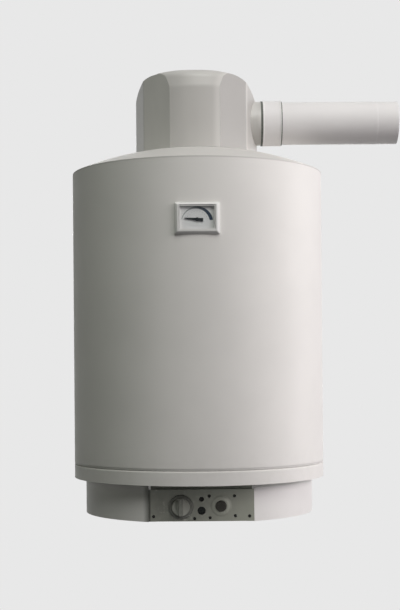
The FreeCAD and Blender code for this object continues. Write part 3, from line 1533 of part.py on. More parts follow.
def make_pilot_set():
    """Pilot burner, thermocouple and spark electrode, each with the tube or lead that serves it."""
    low = lead_end - dim.seat_gap
    radius = dim.pilot_radius
    body = turned("pilot_body", [
        (0, low), (radius, low), (radius, pilot_top - radius), (radius * 1.5, pilot_top - radius),
        (radius * 1.5, pilot_top), (0, pilot_top)])
    set_place(body, -dim.pilot_offset, dim.pilot_forward, 0)
    tube = upright_lead("pilot_tube", -dim.pilot_offset, valve_back, dim.pilot_forward,
                        dim.lead_height, dim.pilot_tube_radius)
    nut = union_nut("pilot_nut", -dim.pilot_offset, dim.lead_height, dim.lead_nut_flats,
                    dim.lead_nut_length, dim.pilot_tube_radius / 2)
    finish("pilot_burner", fuse("pilot_burner", body, tube, nut))
    tip = dim.couple_radius / 2
    couple = turned("couple_body", [
        (0, low), (dim.couple_radius, low), (dim.couple_radius, pilot_top - tip * 4),
        (tip, pilot_top - tip * 3), (tip, pilot_top), (0, pilot_top)])
    set_place(couple, -dim.couple_offset, dim.couple_forward, 0)
    lead = upright_lead("couple_lead", -dim.couple_offset, valve_back, dim.couple_forward,
                        dim.lead_height, dim.couple_lead_radius)
    nut = union_nut("couple_nut", -dim.couple_offset, dim.lead_height, dim.lead_nut_flats,
                    dim.lead_nut_length, dim.couple_lead_radius / 2)
    finish("thermocouple", fuse("thermocouple", couple, lead, nut))
    radius, wire = dim.electrode_radius, dim.electrode_wire
    ceramic_top = pilot_top - radius * 4
    spark = turned("electrode_body", [
        (0, low), (radius, low), (radius, ceramic_top), (wire, ceramic_top), (wire, pilot_top),
        (0, pilot_top)])
    set_place(spark, dim.electrode_offset, dim.electrode_forward, 0)
    wire_lead = upright_lead("electrode_lead", button_across, behind_panel - dim.barrel_length,
                             dim.electrode_forward, dim.igniter_height, dim.ignition_lead_radius)
    finish("spark_electrode", fuse("spark_electrode", spark, wire_lead))


def make_thermostat_bulb():
    """The valve's sensing rod in the tank, its nut and the capillary down to the valve."""
    nut_bottom = tank_bottom - dim.bulb_nut_height
    bulb = padded("thermostat_bulb", "XY_Plane", valve_top, nut_bottom - valve_top,
                  circles=[(0, 0, dim.capillary_radius)])
    add_pad(bulb, "XY_Plane", nut_bottom, dim.bulb_nut_height, [hexagon(dim.bulb_nut_flats)])
    add_pad(bulb, "XY_Plane", tank_bottom, dim.bulb_rise, circles=[(0, 0, dim.bulb_radius)])
    finish("thermostat_bulb", bulb, across=knob_across, forward=bulb_forward)


# Burner and chamber

def make_chamber_wall():
    outside, wall = chamber_radius, dim.chamber_wall
    shell = turned("chamber_wall", tube_outline(outside - wall, outside, plate_top, tank_bottom))
    half = dim.port_width / 2
    port = add_pocket(shell, "XZ_Plane", outside - wall * 4, wall * 6, [rectangle(
        -half, half, plate_top + dim.port_sill, plate_top + dim.port_sill + dim.port_height)])
    repeat_round(shell, port, dim.port_count)
    finish("chamber_wall", shell)


def make_chamber_door():
    gap = dim.running_gap
    screw_holes = door_screw_circles(dim.screw_shank + gap)
    finish("chamber_gasket", padded(
        "chamber_gasket", "XY_Plane", gasket_bottom, dim.gasket_wall,
        circles=[(0, 0, dim.door_radius), (0, 0, dim.door_hole_radius), *screw_holes]))
    holes = [(0, 0, dim.door_radius), (0, 0, dim.injector_radius + gap),
             (-dim.pilot_offset, -dim.pilot_forward, dim.pilot_radius + gap),
             (-dim.couple_offset, -dim.couple_forward, dim.couple_radius + gap),
             (dim.electrode_offset, -dim.electrode_forward, dim.electrode_radius + gap)]
    finish("chamber_door", padded("chamber_door", "XY_Plane", door_bottom, dim.door_wall,
                                  circles=holes + screw_holes))
    screws = []
    for number, (x, y, radius) in enumerate(door_screw_circles(dim.screw_shank), start=1):
        screw = padded(f"door_screw_{number}", "XY_Plane", door_bottom,
                       plate_top + dim.plate_wall - door_bottom, circles=[(x, y, radius)])
        add_pad(screw, "XY_Plane", door_bottom - radius, radius, circles=[(x, y, dim.screw_radius)])
        screws.append(screw)
    finish("door_screws", group("door_screws", *screws))


def make_burner():
    """A round burner head with flame ports in its rim, on a throat and an open stand."""
    wall, throat = dim.burner_wall, dim.throat_radius
    radius, stand = dim.burner_radius, dim.stand_radius
    crown_ball = cap_radius(radius, dim.burner_crown)
    under_ball = crown_ball - wall
    crown_centre = head_top + dim.burner_crown - crown_ball
    inside = radius - wall
    burner = turned("burner", [
        (stand - wall, gasket_bottom), (stand, gasket_bottom), (stand, stand_top + wall),
        (throat, stand_top + wall), (throat, head_bottom), (radius, head_bottom),
        (radius, head_top, crown_ball), (0, head_top + dim.burner_crown),
        (0, head_top + dim.burner_crown - wall, -under_ball),
        (inside, crown_centre + leg(under_ball, inside)), (inside, head_bottom + wall),
        (throat - wall, head_bottom + wall), (throat - wall, stand_top), (stand - wall, stand_top)])
    flame_port = add_pocket(burner, "XZ_Plane", radius - wall * 2, wall * 4,
                            circles=[(0, (head_bottom + head_top) / 2, dim.flame_port_radius)])
    repeat_round(burner, flame_port, dim.flame_port_count)
    half = stand / 3
    air_window = add_pocket(burner, "XZ_Plane", stand - wall * 3, wall * 5, [rectangle(
        -half, half, gasket_bottom + wall, stand_top - wall)])
    repeat_round(burner, air_window, dim.stand_window_count)
    finish("burner", burner)


def make_all():
    for make in (make_jacket, make_base_ring, make_skirt, make_base_plate, make_lid, make_hood,
                 make_outlet_rings, make_clamp_collar, make_pipes, make_flue_elbow,
                 make_flue_collector, make_tank, make_flue_tube, make_flue_baffle, make_water_pipes,
                 make_anode, make_sensor_pocket, make_air_duct, make_side_insulation,
                 make_top_insulation, make_hanger, make_lower_spacer, make_bezel, make_gauge_case,
                 make_movement, make_needle, make_control_panel, make_panel_screws, make_knob,
                 make_cam_sleeve, make_igniter, make_sight_tube, make_gas_valve, make_valve_bracket,
                 make_gas_pipes, make_pilot_set, make_thermostat_bulb, make_chamber_wall,
                 make_chamber_door, make_burner):
        make()


def check_all():
    """Stops before anything is written if an object failed or a piece isn't a sound solid."""
    doc.recompute()
    for thing in doc.Objects:
        if "Invalid" in thing.State or "Error" in thing.State:
            raise RuntimeError(f"{thing.Name} did not build: {thing.State} {thing.getStatusString()}")
    for piece in pieces:
        shape = piece.Shape
        if shape.isNull() or not shape.isValid() or not shape.Solids:
            raise RuntimeError(f"{piece.Label} is not a sound solid")


make_all()
check_all()
os.makedirs("parts", exist_ok=True)
for piece in pieces:
    piece.Shape.exportStep(f"parts/{piece.Label}.step")
print(len(pieces), "pieces written")
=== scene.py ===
import json
import math
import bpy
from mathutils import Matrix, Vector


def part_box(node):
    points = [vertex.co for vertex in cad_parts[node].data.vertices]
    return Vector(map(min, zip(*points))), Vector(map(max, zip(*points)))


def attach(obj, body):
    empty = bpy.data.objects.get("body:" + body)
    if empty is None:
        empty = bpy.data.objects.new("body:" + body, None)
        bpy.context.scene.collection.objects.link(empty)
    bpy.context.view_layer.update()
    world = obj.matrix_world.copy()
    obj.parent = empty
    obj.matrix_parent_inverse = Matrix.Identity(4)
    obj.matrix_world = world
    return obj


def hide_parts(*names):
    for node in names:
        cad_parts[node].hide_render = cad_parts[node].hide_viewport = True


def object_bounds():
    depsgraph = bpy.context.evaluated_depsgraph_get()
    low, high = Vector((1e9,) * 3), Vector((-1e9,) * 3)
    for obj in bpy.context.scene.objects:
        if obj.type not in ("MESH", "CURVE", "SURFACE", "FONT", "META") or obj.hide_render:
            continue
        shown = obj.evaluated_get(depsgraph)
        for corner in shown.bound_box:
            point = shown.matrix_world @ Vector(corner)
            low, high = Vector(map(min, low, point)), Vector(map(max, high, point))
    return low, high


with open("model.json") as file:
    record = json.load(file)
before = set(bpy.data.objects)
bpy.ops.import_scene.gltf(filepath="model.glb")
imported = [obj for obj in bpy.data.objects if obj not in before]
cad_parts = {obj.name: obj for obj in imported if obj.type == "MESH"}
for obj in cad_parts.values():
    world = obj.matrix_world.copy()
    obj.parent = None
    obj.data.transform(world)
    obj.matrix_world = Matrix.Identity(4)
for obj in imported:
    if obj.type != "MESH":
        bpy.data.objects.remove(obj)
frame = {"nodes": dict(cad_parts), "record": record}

from types import SimpleNamespace

import bmesh
import bpy
from bpy.props import FloatProperty, FloatVectorProperty, IntProperty, PointerProperty
from bpy.types import Operator, Panel, PropertyGroup
from mathutils import Vector

bl_info = {
    "name": "Wall-Hung Gas Water Heater",
    "version": (1, 0, 0),
    "blender": (4, 5, 0),
    "location": "View3D > Sidebar > Heater",
    "description": "Finishes, printed dial, small fittings and a plain stage for a gas water heater",
    "category": "Object",
}

cad_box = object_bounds()

# Photograph: its frame in pixels, and the camera that was fitted to it, which leans by some degrees
FRAME_HEIGHT = 610
SENSOR = 36.0
FOCAL_PIXELS = 1258
HORIZON_BELOW_CENTRE = 63
AXIS_LEFT_OF_CENTRE = 1.7
CAMERA_DISTANCE = 2.521
CAMERA_LEAN = 0.45
EYE_ABOVE_SKIRT = 0.283

LAMP_DISTANCE = 4.2
LAMP_SIZE = 2.1

# Places and sizes that part.py gives, here in metres. A panel screw is so far across from the panel's
# middle and above the skirt's lower edge. The knob's disc lies behind its grip by the grip's raise. The
# hood's facet at the front right runs between two points of its plan, from the hood's middle.
PANEL_SCREWS = ((-0.0885, 0.0096), (0.0885, 0.0096), (0.0142, 0.0469), (0.0606, 0.0469),
                (0.0155, 0.0068), (0.0623, 0.0103), (-0.013, 0.0054))
SMALL_HOLE_HEIGHT = 0.041
THREAD_RADIUS = 0.0105
GAS_THREAD = (-0.06, -0.3225)
KNOB_GRIP_RAISE = 0.006
KNOB_DISC_RADIUS = 0.0165
HOOD_FACET = (Vector((0.037, -0.1207)), Vector((0.098, -0.07)))

SCREW_HEAD_DEPTH = 0.6      # as a share of the head's radius
OVERCUT = 0.0002            # how far a cutting form stands out of what it opens


def node_box(name):
    """A node's box at rest: its lowest and highest corners, its middle and its size."""
    low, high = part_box(name)
    return SimpleNamespace(low=low, high=high, middle=(low + high) / 2, size=high - low)


jacket = node_box("jacket")
skirt = node_box("skirt")
dial = node_box("dial")
bezel = node_box("thermometer_bezel")
case = node_box("thermometer_case")
panel = node_box("control_panel")
sunk_screws = node_box("panel_screws")
knob = node_box("knob")
button = node_box("igniter_button")
cold_pipe = node_box("cold_pipe")
hot_pipe = node_box("hot_pipe")
hood = node_box("hood")


# Properties

def length(name, description, default, **limits):
    return FloatProperty(name=name, description=description, default=default, unit="LENGTH",
                         subtype="DISTANCE", precision=5, **limits)


def colour(name, description, default):
    return FloatVectorProperty(name=name, description=description, default=default, size=3,
                               min=0, max=1, subtype="COLOR")


def angle(name, description, default):
    return FloatProperty(name=name, description=description, default=default, subtype="ANGLE")


def count(name, description, default, low, high):
    return IntProperty(name=name, description=description, default=default, min=low, max=high)


def power(name, description, default):
    return FloatProperty(name=name, description=description, default=default, min=0, unit="POWER")


class HeaterColours(PropertyGroup):
    """Colours of the finishes that a user is likely to change."""

    casing: colour("Casing", "Enamel of the jacket, lid and base ring", (0.85, 0.84, 0.81))
    skirt: colour("Skirt", "Enamel of the skirt", (0.88, 0.87, 0.85))
    hood: colour("Hood", "Moulded flue hood", (0.55, 0.54, 0.515))
    duct: colour("Flue pipe", "Enamel of the outer flue pipe and its collar", (0.92, 0.905, 0.9))
    bezel: colour("Thermometer frame", "Frame round the thermometer", (0.82, 0.82, 0.805))
    dial: colour("Dial", "Face of the thermometer", (0.79, 0.81, 0.81))
    scale_cold: colour("Scale, cold end", "Ink of the scale's thin end", (0.4, 0.43, 0.42))
    scale_hot: colour("Scale, hot end", "Ink of the scale's thick end", (0.014, 0.03, 0.056))
    panel: colour("Control panel", "Die-cast control panel", (0.176, 0.18, 0.153))
    knob: colour("Knob", "Gas knob", (0.225, 0.23, 0.205))
    button: colour("Igniter button", "Igniter button", (0.042, 0.04, 0.033))


class HeaterSizes(PropertyGroup):
    """Sizes of the small pieces that are modelled here."""

    scale_radius: length("Scale radius", "Outside radius of the dial's printed scale", 0.0292, min=0.01)
    scale_drop: length("Scale drop", "Scale's centre below the thermometer's middle", 0.008, min=0)
    scale_width: length("Scale width", "Mean width of the printed scale", 0.0038, min=0.001)
    scale_swell: length("Scale swell", "How much wider the hot end is, and the cold end narrower", 0.0025,
                        min=0)
    scale_ticks: count("Scale ticks", "Fine marks inside the printed scale", 11, 2, 40)
    screw_radius: length("Screw head", "Radius of the panel screws' heads", 0.003, min=0.001)
    thread_pitch: length("Thread pitch", "Rise of the half-inch pipe thread in one turn", 0.001814,
                         min=0.0005)


class HeaterStage(PropertyGroup):
    """Background, floor and lamps."""

    background: colour("Background", "Tone behind the heater", (0.807, 0.807, 0.807))
    ambient: colour("Ambient light", "Light that comes from all round", (0.006, 0.007, 0.006))
    floor_drop: length("Floor", "Floor below the skirt's lower edge", 1.05, min=0.1)
    floor_radius: length("Floor radius", "Radius of the round floor", 3.3, min=1)
    floor_bounce: FloatProperty(name="Floor bounce", default=0.18, min=0, max=1,
                                description="Share of the floor's tone in the light that it throws up")
    front_power: power("Front lamp", "Power of the lamp high in front", 74)
    key_power: power("Key lamp", "Power of the lamp in front, to the right and above", 71)
    side_power: power("Side lamp", "Power of the lamp at the right", 86)
    top_power: power("Top lamp", "Power of the lamp overhead", 16)
    left_power: power("Left lamp", "Power of the weak lamp at the left", 8)
    back_power: power("Back lamp", "Power of the lamp that fills the side towards the wall", 66)


# Shader maths

class Wire:
    """A value or colour inside a material, with Python's operators for its maths."""

    def __init__(self, finish, socket):
        self.finish = finish
        self.socket = socket

    def maths(self, operation, first, second=0.0):
        return self.finish.node("ShaderNodeMath", {"operation": operation}, {0: first, 1: second})

    def __add__(self, other):
        return self.maths("ADD", self, other)

    def __sub__(self, other):
        return self.maths("SUBTRACT", self, other)

    def __mul__(self, other):
        return self.maths("MULTIPLY", self, other)

    def __pow__(self, other):
        return self.maths("POWER", self, other)

    def __rsub__(self, other):
        return self.maths("SUBTRACT", other, self)

    def __abs__(self):
        return self.maths("ABSOLUTE", self)

    __radd__ = __add__
    __rmul__ = __mul__

    def rises(self, start, end):
        """0 below the start and 1 above the end, with a soft step between."""
        return self.finish.node(
            "ShaderNodeMapRange", {"interpolation_type": "SMOOTHSTEP"},
            {"Value": self, "From Min": start, "From Max": end, "To Min": 0.0, "To Max": 1.0})


class Finish:
    """A material while its nodes are being joined."""

    def __init__(self, name):
        self.material = bpy.data.materials.new(name)
        self.material.use_nodes = True
        self.tree = self.material.node_tree
        self.tree.nodes.clear()
        self.output = self.tree.nodes.new("ShaderNodeOutputMaterial")

    def node(self, kind, settings, sockets, output=0):
        """Adds a node, with its settings first and then the values or wires of its sockets."""
        made = self.tree.nodes.new(kind)
        for name, value in settings.items():
            setattr(made, name, value)
        for name, value in sockets.items():
            socket = made.inputs[name]
            if isinstance(value, Wire):
                self.tree.links.new(value.socket, socket)
            elif socket.type == "RGBA":
                socket.default_value = (*value, 1)
            else:
                socket.default_value = value
        return Wire(self, made.outputs[output])

    def place(self, centre=(0, 0, 0), stretch=(1, 1, 1)):
        """Object coordinates, measured from a point and stretched along the axes."""
        coordinates = self.node("ShaderNodeTexCoord", {}, {}, "Object")
        moved = self.node("ShaderNodeVectorMath", {"operation": "SUBTRACT"}, {0: coordinates, 1: centre})
        return self.node("ShaderNodeVectorMath", {"operation": "MULTIPLY"}, {0: moved, 1: stretch})

    def axis(self, name, centre=(0, 0, 0)):
        """One coordinate of the place: X to the right, Y into the wall or Z up."""
        return self.node("ShaderNodeSeparateXYZ", {}, {0: self.place(centre)}, name)

    def noise(self, size, detail=2.0, stretch=(1, 1, 1)):
        """Cloudy noise from 0 to 1 whose spots are about that size."""
        return self.node("ShaderNodeTexNoise", {}, {
            "Vector": self.place(stretch=stretch), "Scale": 1 / size, "Detail": detail}, "Fac")

    def cells(self, size, output="Distance"):
        """Cells of about that size: the distance from each one's middle, or its own random colour."""
        return self.node("ShaderNodeTexVoronoi", {}, {"Vector": self.place(), "Scale": 1 / size}, output)

    def distance(self, centre, *axes):
        """The distance from a point in the plane of two axes."""
        first, second = (self.axis(name, centre) for name in axes)
        return (first * first + second * second) ** 0.5

    def mix(self, amount, first, second):
        """One colour where the amount is 0 and another where it is 1."""
        return self.node("ShaderNodeMix", {"data_type": "RGBA"},
                         {0: amount, 6: first, 7: second}, 2)

    def varied(self, amount, tone, low, high):
        """Shades of one tone, scaled from low to high as the amount goes from 0 to 1."""
        return self.mix(amount, scaled(tone, low), scaled(tone, high))

    def bump(self, height, depth, under=None):
        """A relief of a depth, over another one if there is one under it."""
        sockets = {"Height": height, "Distance": depth, "Strength": 1.0}
        if under is not None:
            sockets["Normal"] = under
        return self.node("ShaderNodeBump", {}, sockets)

    def surface(self, plain=None, **wires):
        """The shader: plain values by their socket's name, and wires for what changes over it."""
        names = {"colour": "Base Color", "roughness": "Roughness", "metallic": "Metallic",
                 "normal": "Normal", "alpha": "Alpha", "coat": "Coat Weight"}
        sockets = dict(plain or {})
        sockets.update({names[key]: value for key, value in wires.items()})
        shader = self.node("ShaderNodeBsdfPrincipled", {}, sockets)
        self.tree.links.new(shader.socket, self.output.inputs["Surface"])
        return self.material


def scaled(tone, amount):
    return tuple(min(channel * amount, 1) for channel in tone)


# Finishes

def enamel(name, tone, dust_and_lid_shade=None, panel_shadow_edge=None):
    """Sprayed satin enamel: orange peel, faint clouds, and a groove where jacket and skirt meet.

    The dust heights are those over which the dust at a lower edge thins out; with them the lid above the
    jacket also gets a darker tone, a painted shade. The panel edge is the place across the front beside
    which a painted shadow lies on the skirt, at the control panel's left edge.
    """
    finish = Finish(name)
    clouds = finish.noise(0.16, 3.0)
    specks = finish.noise(0.0009, 1.0).rises(0.7, 0.78)
    base = finish.varied(clouds.rises(0.3, 0.7), tone, 0.975, 1.02)
    base = finish.mix(specks * 0.12, base, scaled(tone, 0.6))
    if dust_and_lid_shade:
        dust = (1 - finish.axis("Z").rises(*dust_and_lid_shade)) * finish.noise(0.02, 4.0).rises(0.35, 0.75)
        base = finish.mix(dust * 0.07, base, (0.42, 0.4, 0.34))
        # painted shade: the lid above the jacket is made darker, to tone down the light that falls on it
        # from above
        lid_shade = finish.axis("Z").rises(jacket.high.z - 0.001, jacket.high.z + 0.001)
        base = finish.mix(lid_shade * (clouds * 0.1 + 0.34), base, (0.42, 0.4, 0.38))
    if panel_shadow_edge is not None:
        # painted shadow: the skirt darkens towards the control panel's left edge, at the front only
        across = finish.axis("X")
        painted_shadow = across.rises(panel_shadow_edge - 0.013, panel_shadow_edge) * (1 - across.rises(panel_shadow_edge + 0.005, panel_shadow_edge + 0.008))
        painted_shadow = painted_shadow * (1 - finish.axis("Y").rises(jacket.middle.y - 0.05, jacket.middle.y))
        base = finish.mix(painted_shadow * 0.72, base, (0.08, 0.085, 0.07))
    roughness = finish.noise(0.05, 3.0) * 0.12 + 0.42
    groove = abs(finish.axis("Z") - jacket.low.z).rises(0, 0.0045)
    peel = finish.bump(finish.noise(0.0035, 1.0), 0.00003)
    return finish.surface({"Specular IOR Level": 0.15}, colour=base, roughness=roughness,
                          normal=finish.bump(groove, 0.0009, peel))


def moulded_tone(finish, tone):
    """The colour of moulded plastic, with faint flow marks."""
    flow = finish.noise(0.06, stretch=(1, 1, 0.35))
    return finish.varied(flow.rises(0.3, 0.7), tone, 0.97, 1.03)


def moulded_surface(finish, base, least_roughness, shine):
    """A colour with a fine texture and small differences of gloss."""
    roughness = finish.noise(0.012, 3.0) * 0.14 + least_roughness
    return finish.surface({"Specular IOR Level": shine}, colour=base, roughness=roughness,
                          normal=finish.bump(finish.noise(0.0007), 0.00002))


def moulded(name, tone, least_roughness=0.35):
    """Injection-moulded plastic, satin and plain."""
    finish = Finish(name)
    return moulded_surface(finish, moulded_tone(finish, tone), least_roughness, 0.2)


def hood_moulding(name, tone):
    """The flue hood's moulding: shinier, with a painted highlight along a crease and painted shade on the
    facet beyond it.
    """
    finish = Finish(name)
    start, end = HOOD_FACET
    outwards = Vector((end.y - start.y, start.x - end.x)).normalized()
    across, along = finish.axis("X"), finish.axis("Y", (0, hood.middle.y, 0))
    beyond = across * outwards.x + along * outwards.y - start.dot(outwards)
    # painted highlight: a lighter strip along the crease
    base = finish.mix(beyond.rises(-0.0075, -0.0012), moulded_tone(finish, tone), scaled(tone, 1.17))
    # painted shade: the facet beyond the crease is darker
    base = finish.mix(beyond.rises(-0.0003, -0.0001), base, scaled(tone, 0.78))
    return moulded_surface(finish, base, 0.29, 0.55)


def knob_moulding(name, tone):
    """The knob's moulding: a lighter disc between a darker grip and a darker rim; the rim's dark tone is
    painted shade.
    """
    finish = Finish(name)
    handling = finish.noise(0.008, 4.0)
    disc_front = knob.low.y + KNOB_GRIP_RAISE
    behind_grip = finish.axis("Y").rises(disc_front - 0.0015, disc_front - 0.0005)
    shaded_rim = finish.distance(knob.middle, "X", "Z").rises(KNOB_DISC_RADIUS - 0.0006, KNOB_DISC_RADIUS)
    base = finish.varied(handling.rises(0.35, 0.7), tone, 0.93, 1.07)
    # painted shade: the rim keeps the darker tone while the disc inside it is lightened
    base = finish.mix((1 - shaded_rim) * behind_grip * (handling * 0.3 + 0.7), base, scaled(tone, 1.85))
    return finish.surface({"Specular IOR Level": 0.2}, colour=base, roughness=handling * 0.15 + 0.4,
                          normal=finish.bump(finish.noise(0.0007), 0.00004))


def zinc_plated(name):
    """Zinc-plated sheet: rolled grain, soft spangle and a faint yellow and blue bloom."""
    finish = Finish(name)
    spangle = finish.node("ShaderNodeSeparateColor", {}, {0: finish.cells(0.006, "Color")}, 0)
    bloom = finish.noise(0.03, 3.0)
    base = finish.mix(bloom.rises(0.35, 0.75), (0.6, 0.61, 0.62), (0.65, 0.635, 0.585))
    base = finish.mix(spangle * 0.2, base, (0.7, 0.71, 0.73))
    grain = finish.noise(0.0012, 3.0, stretch=(1, 1, 0.05))
    roughness = finish.noise(0.015, 4.0) * 0.2 + 0.3
    return finish.surface({}, colour=base, metallic=0.9, roughness=roughness,
                          normal=finish.bump(grain, 0.00002))


def drawn_metal(name, tone, tarnish, least_roughness=0.24, stretch=(0.04, 1, 1)):
    """Drawn or turned metal: fine lines one way and tarnish in patches."""
    finish = Finish(name)
    lines = finish.noise(0.0006, stretch=stretch)
    patches = finish.noise(0.018, 4.0).rises(0.42, 0.75)
    base = finish.mix(patches * 0.7, tone, tarnish)
    roughness = patches * 0.2 + lines * 0.12 + least_roughness
    return finish.surface({}, colour=base, metallic=1.0, roughness=roughness,
                          normal=finish.bump(lines, 0.00001))


def die_cast(name, tone, wear, least_roughness, painted_light_tone=None):
    """Die-cast metal: fine pitted skin, flow clouds and a lighter rub on high spots.

    With a tone for painted light it is the panel, which has a painted shadow at its left end, painted
    light that grows towards its right and a painted highlight round its button.
    """
    finish = Finish(name)
    clouds = finish.noise(0.02, 4.0)
    rub = finish.noise(0.006, 5.0).rises(0.58, 0.8)
    base = finish.varied(clouds.rises(0.3, 0.7), tone, 0.88, 1.12)
    if painted_light_tone:
        across, radius = finish.axis("X"), finish.distance(button.middle, "X", "Z")
        inner, outer = button.size.x * 0.5, button.size.x * 0.8
        # painted light: the panel grows lighter towards its right
        painted_right_light = across.rises(panel.low.x + 0.02, panel.high.x + 0.04)
        base = finish.mix(painted_right_light * 0.8, base, painted_light_tone)
        # painted shadow: a dark strip along the panel's left end
        painted_left_shadow = 1 - across.rises(panel.low.x + 0.001, panel.low.x + 0.0045)
        base = finish.mix(painted_left_shadow * 0.85, base, scaled(tone, 0.15))
        # painted highlight: a lighter ring on the boss round the igniter button
        button_highlight = radius.rises(inner - 0.001, inner) * (1 - radius.rises(outer, outer + 0.001))
        base = finish.mix(button_highlight * 0.6, base, painted_light_tone)
    base = finish.mix(rub * 0.35, base, wear)
    return finish.surface({"Specular IOR Level": 0.45}, colour=base, metallic=rub * 0.3 + 0.25,
                          roughness=clouds * 0.2 + least_roughness,
                          normal=finish.bump(finish.noise(0.0008, 3.0), 0.00004))


def scaled_steel(name):
    """Steel that has been in the flame: dark scale, and rust in patches."""
    finish = Finish(name)
    scale = finish.noise(0.004, 6.0)
    rust = finish.noise(0.025, 5.0).rises(0.5, 0.72)
    base = finish.mix(scale.rises(0.35, 0.7), (0.09, 0.085, 0.085), (0.2, 0.19, 0.19))
    base = finish.mix(rust * 0.8, base, (0.27, 0.13, 0.07))
    return finish.surface({}, colour=base, metallic=(1 - rust) * 0.7, roughness=scale * 0.25 + 0.45,
                          normal=finish.bump(scale, 0.00012))


def glass_lining(name):
    """Vitreous enamel on the tank: deep blue, glossy, with small pinholes and ripples."""
    finish = Finish(name)
    ripples = finish.noise(0.02)
    pinholes = finish.cells(0.009).rises(0.04, 0.1)
    base = finish.mix(pinholes, (0.02, 0.025, 0.03), (0.035, 0.07, 0.16))
    return finish.surface({"Coat Roughness": 0.05}, colour=base, roughness=ripples * 0.15 + 0.18,
                          coat=pinholes * 0.6, normal=finish.bump(ripples, 0.0004))


def foam(name):
    """Rigid foam: yellowed skin over closed cells."""
    finish = Finish(name)
    bubbles = finish.cells(0.0016)
    patches = finish.noise(0.05, 4.0)
    base = finish.mix(patches.rises(0.3, 0.7), (0.82, 0.7, 0.4), (0.88, 0.8, 0.55))
    base = finish.mix(bubbles.rises(0.3, 0.9) * 0.4, base, (0.55, 0.42, 0.2))
    return finish.surface({"Specular IOR Level": 0.2}, colour=base, roughness=patches * 0.1 + 0.8,
                          normal=finish.bump(bubbles, 0.0003))


def grey_rubber(name):
    """Moulded rubber with a pale bloom on it."""
    finish = Finish(name)
    bloom = finish.noise(0.006, 4.0)
    base = finish.mix(bloom.rises(0.4, 0.8), (0.13, 0.14, 0.125), (0.2, 0.21, 0.19))
    return finish.surface({"Specular IOR Level": 0.3}, colour=base, roughness=bloom * 0.2 + 0.6,
                          normal=finish.bump(finish.noise(0.0006), 0.00003))


def pressed_fibre(name):
    """Pale gasket board of pressed fibres."""
    finish = Finish(name)
    fibres = finish.noise(0.0008, 5.0, stretch=(1, 0.3, 1))
    base = finish.mix(fibres.rises(0.3, 0.7), (0.6, 0.57, 0.5), (0.8, 0.78, 0.72))
    return finish.surface({"Specular IOR Level": 0.1}, colour=base, roughness=fibres * 0.1 + 0.85,
                          normal=finish.bump(fibres, 0.0001))


def glazed_ceramic(name):
    """White electrode ceramic under an uneven glaze."""
    finish = Finish(name)
    glaze = finish.noise(0.008, 3.0)
    base = finish.mix(glaze.rises(0.3, 0.7), (0.86, 0.84, 0.78), (0.93, 0.92, 0.88))
    return finish.surface({"Coat Roughness": 0.08}, colour=base, roughness=glaze * 0.15 + 0.22,
                          coat=glaze * 0.5 + 0.2, normal=finish.bump(glaze, 0.00005))


def clear_window(name, tone, opacity, haze, shine):
    """A clear window with fine wiping marks, so that what is behind it still gets its light."""
    finish = Finish(name)
    wiping = finish.noise(0.004, 4.0, stretch=(0.15, 1, 1))
    dust = finish.noise(0.001).rises(0.66, 0.8)
    base = finish.mix(dust * 0.3, tone, (0.4, 0.4, 0.38))
    return finish.surface({"Specular IOR Level": shine}, colour=base, roughness=wiping * 0.08 + haze,
                          alpha=dust * 0.06 + wiping * 0.02 + opacity)


def printed_dial(name, tone):
    """Printed sheet: a fine silk-screen grain, slightly yellowed towards the rim."""
    finish = Finish(name)
    grain = finish.noise(0.0004)
    rim = finish.distance(dial.middle, "X", "Z").rises(0.015, 0.042)
    base = finish.mix(rim, tone, (0.74, 0.74, 0.72))
    base = finish.mix(grain.rises(0.35, 0.7) * 0.15, base, scaled(tone, 0.85))
    return finish.surface({"Specular IOR Level": 0.3}, colour=base, roughness=grain * 0.1 + 0.45,
                          normal=finish.bump(grain, 0.00001))


def scale_ink(name, cold, hot):
    """Printed ink that darkens from the scale's cold end to its hot end."""
    finish = Finish(name)
    grain = finish.noise(0.0005, 3.0)
    along = finish.axis("X", dial.middle).rises(-0.024, 0.02)
    base = finish.mix(along, cold, hot)
    base = finish.mix(grain.rises(0.45, 0.8) * 0.12, base, (0.45, 0.47, 0.5))
    return finish.surface({"Specular IOR Level": 0.2}, colour=base, roughness=grain * 0.1 + 0.5,
                          normal=finish.bump(grain, 0.000005))


def matt_black(name):
    """The needle's matt lacquer."""
    finish = Finish(name)
    grain = finish.noise(0.0005)
    base = finish.mix(grain.rises(0.4, 0.7), (0.005, 0.008, 0.01), (0.014, 0.018, 0.022))
    return finish.surface({"Specular IOR Level": 0.12}, colour=base, roughness=grain * 0.15 + 0.45,
                          normal=finish.bump(grain, 0.00001))


def phosphated(name):
    """Phosphated steel, dark grey with fine crystals."""
    finish = Finish(name)
    crystals = finish.noise(0.0005, 4.0)
    base = finish.mix(crystals.rises(0.35, 0.7), (0.012, 0.012, 0.011), (0.04, 0.04, 0.036))
    return finish.surface({"Specular IOR Level": 0.25}, colour=base, roughness=crystals * 0.2 + 0.5,
                          normal=finish.bump(crystals, 0.00002))


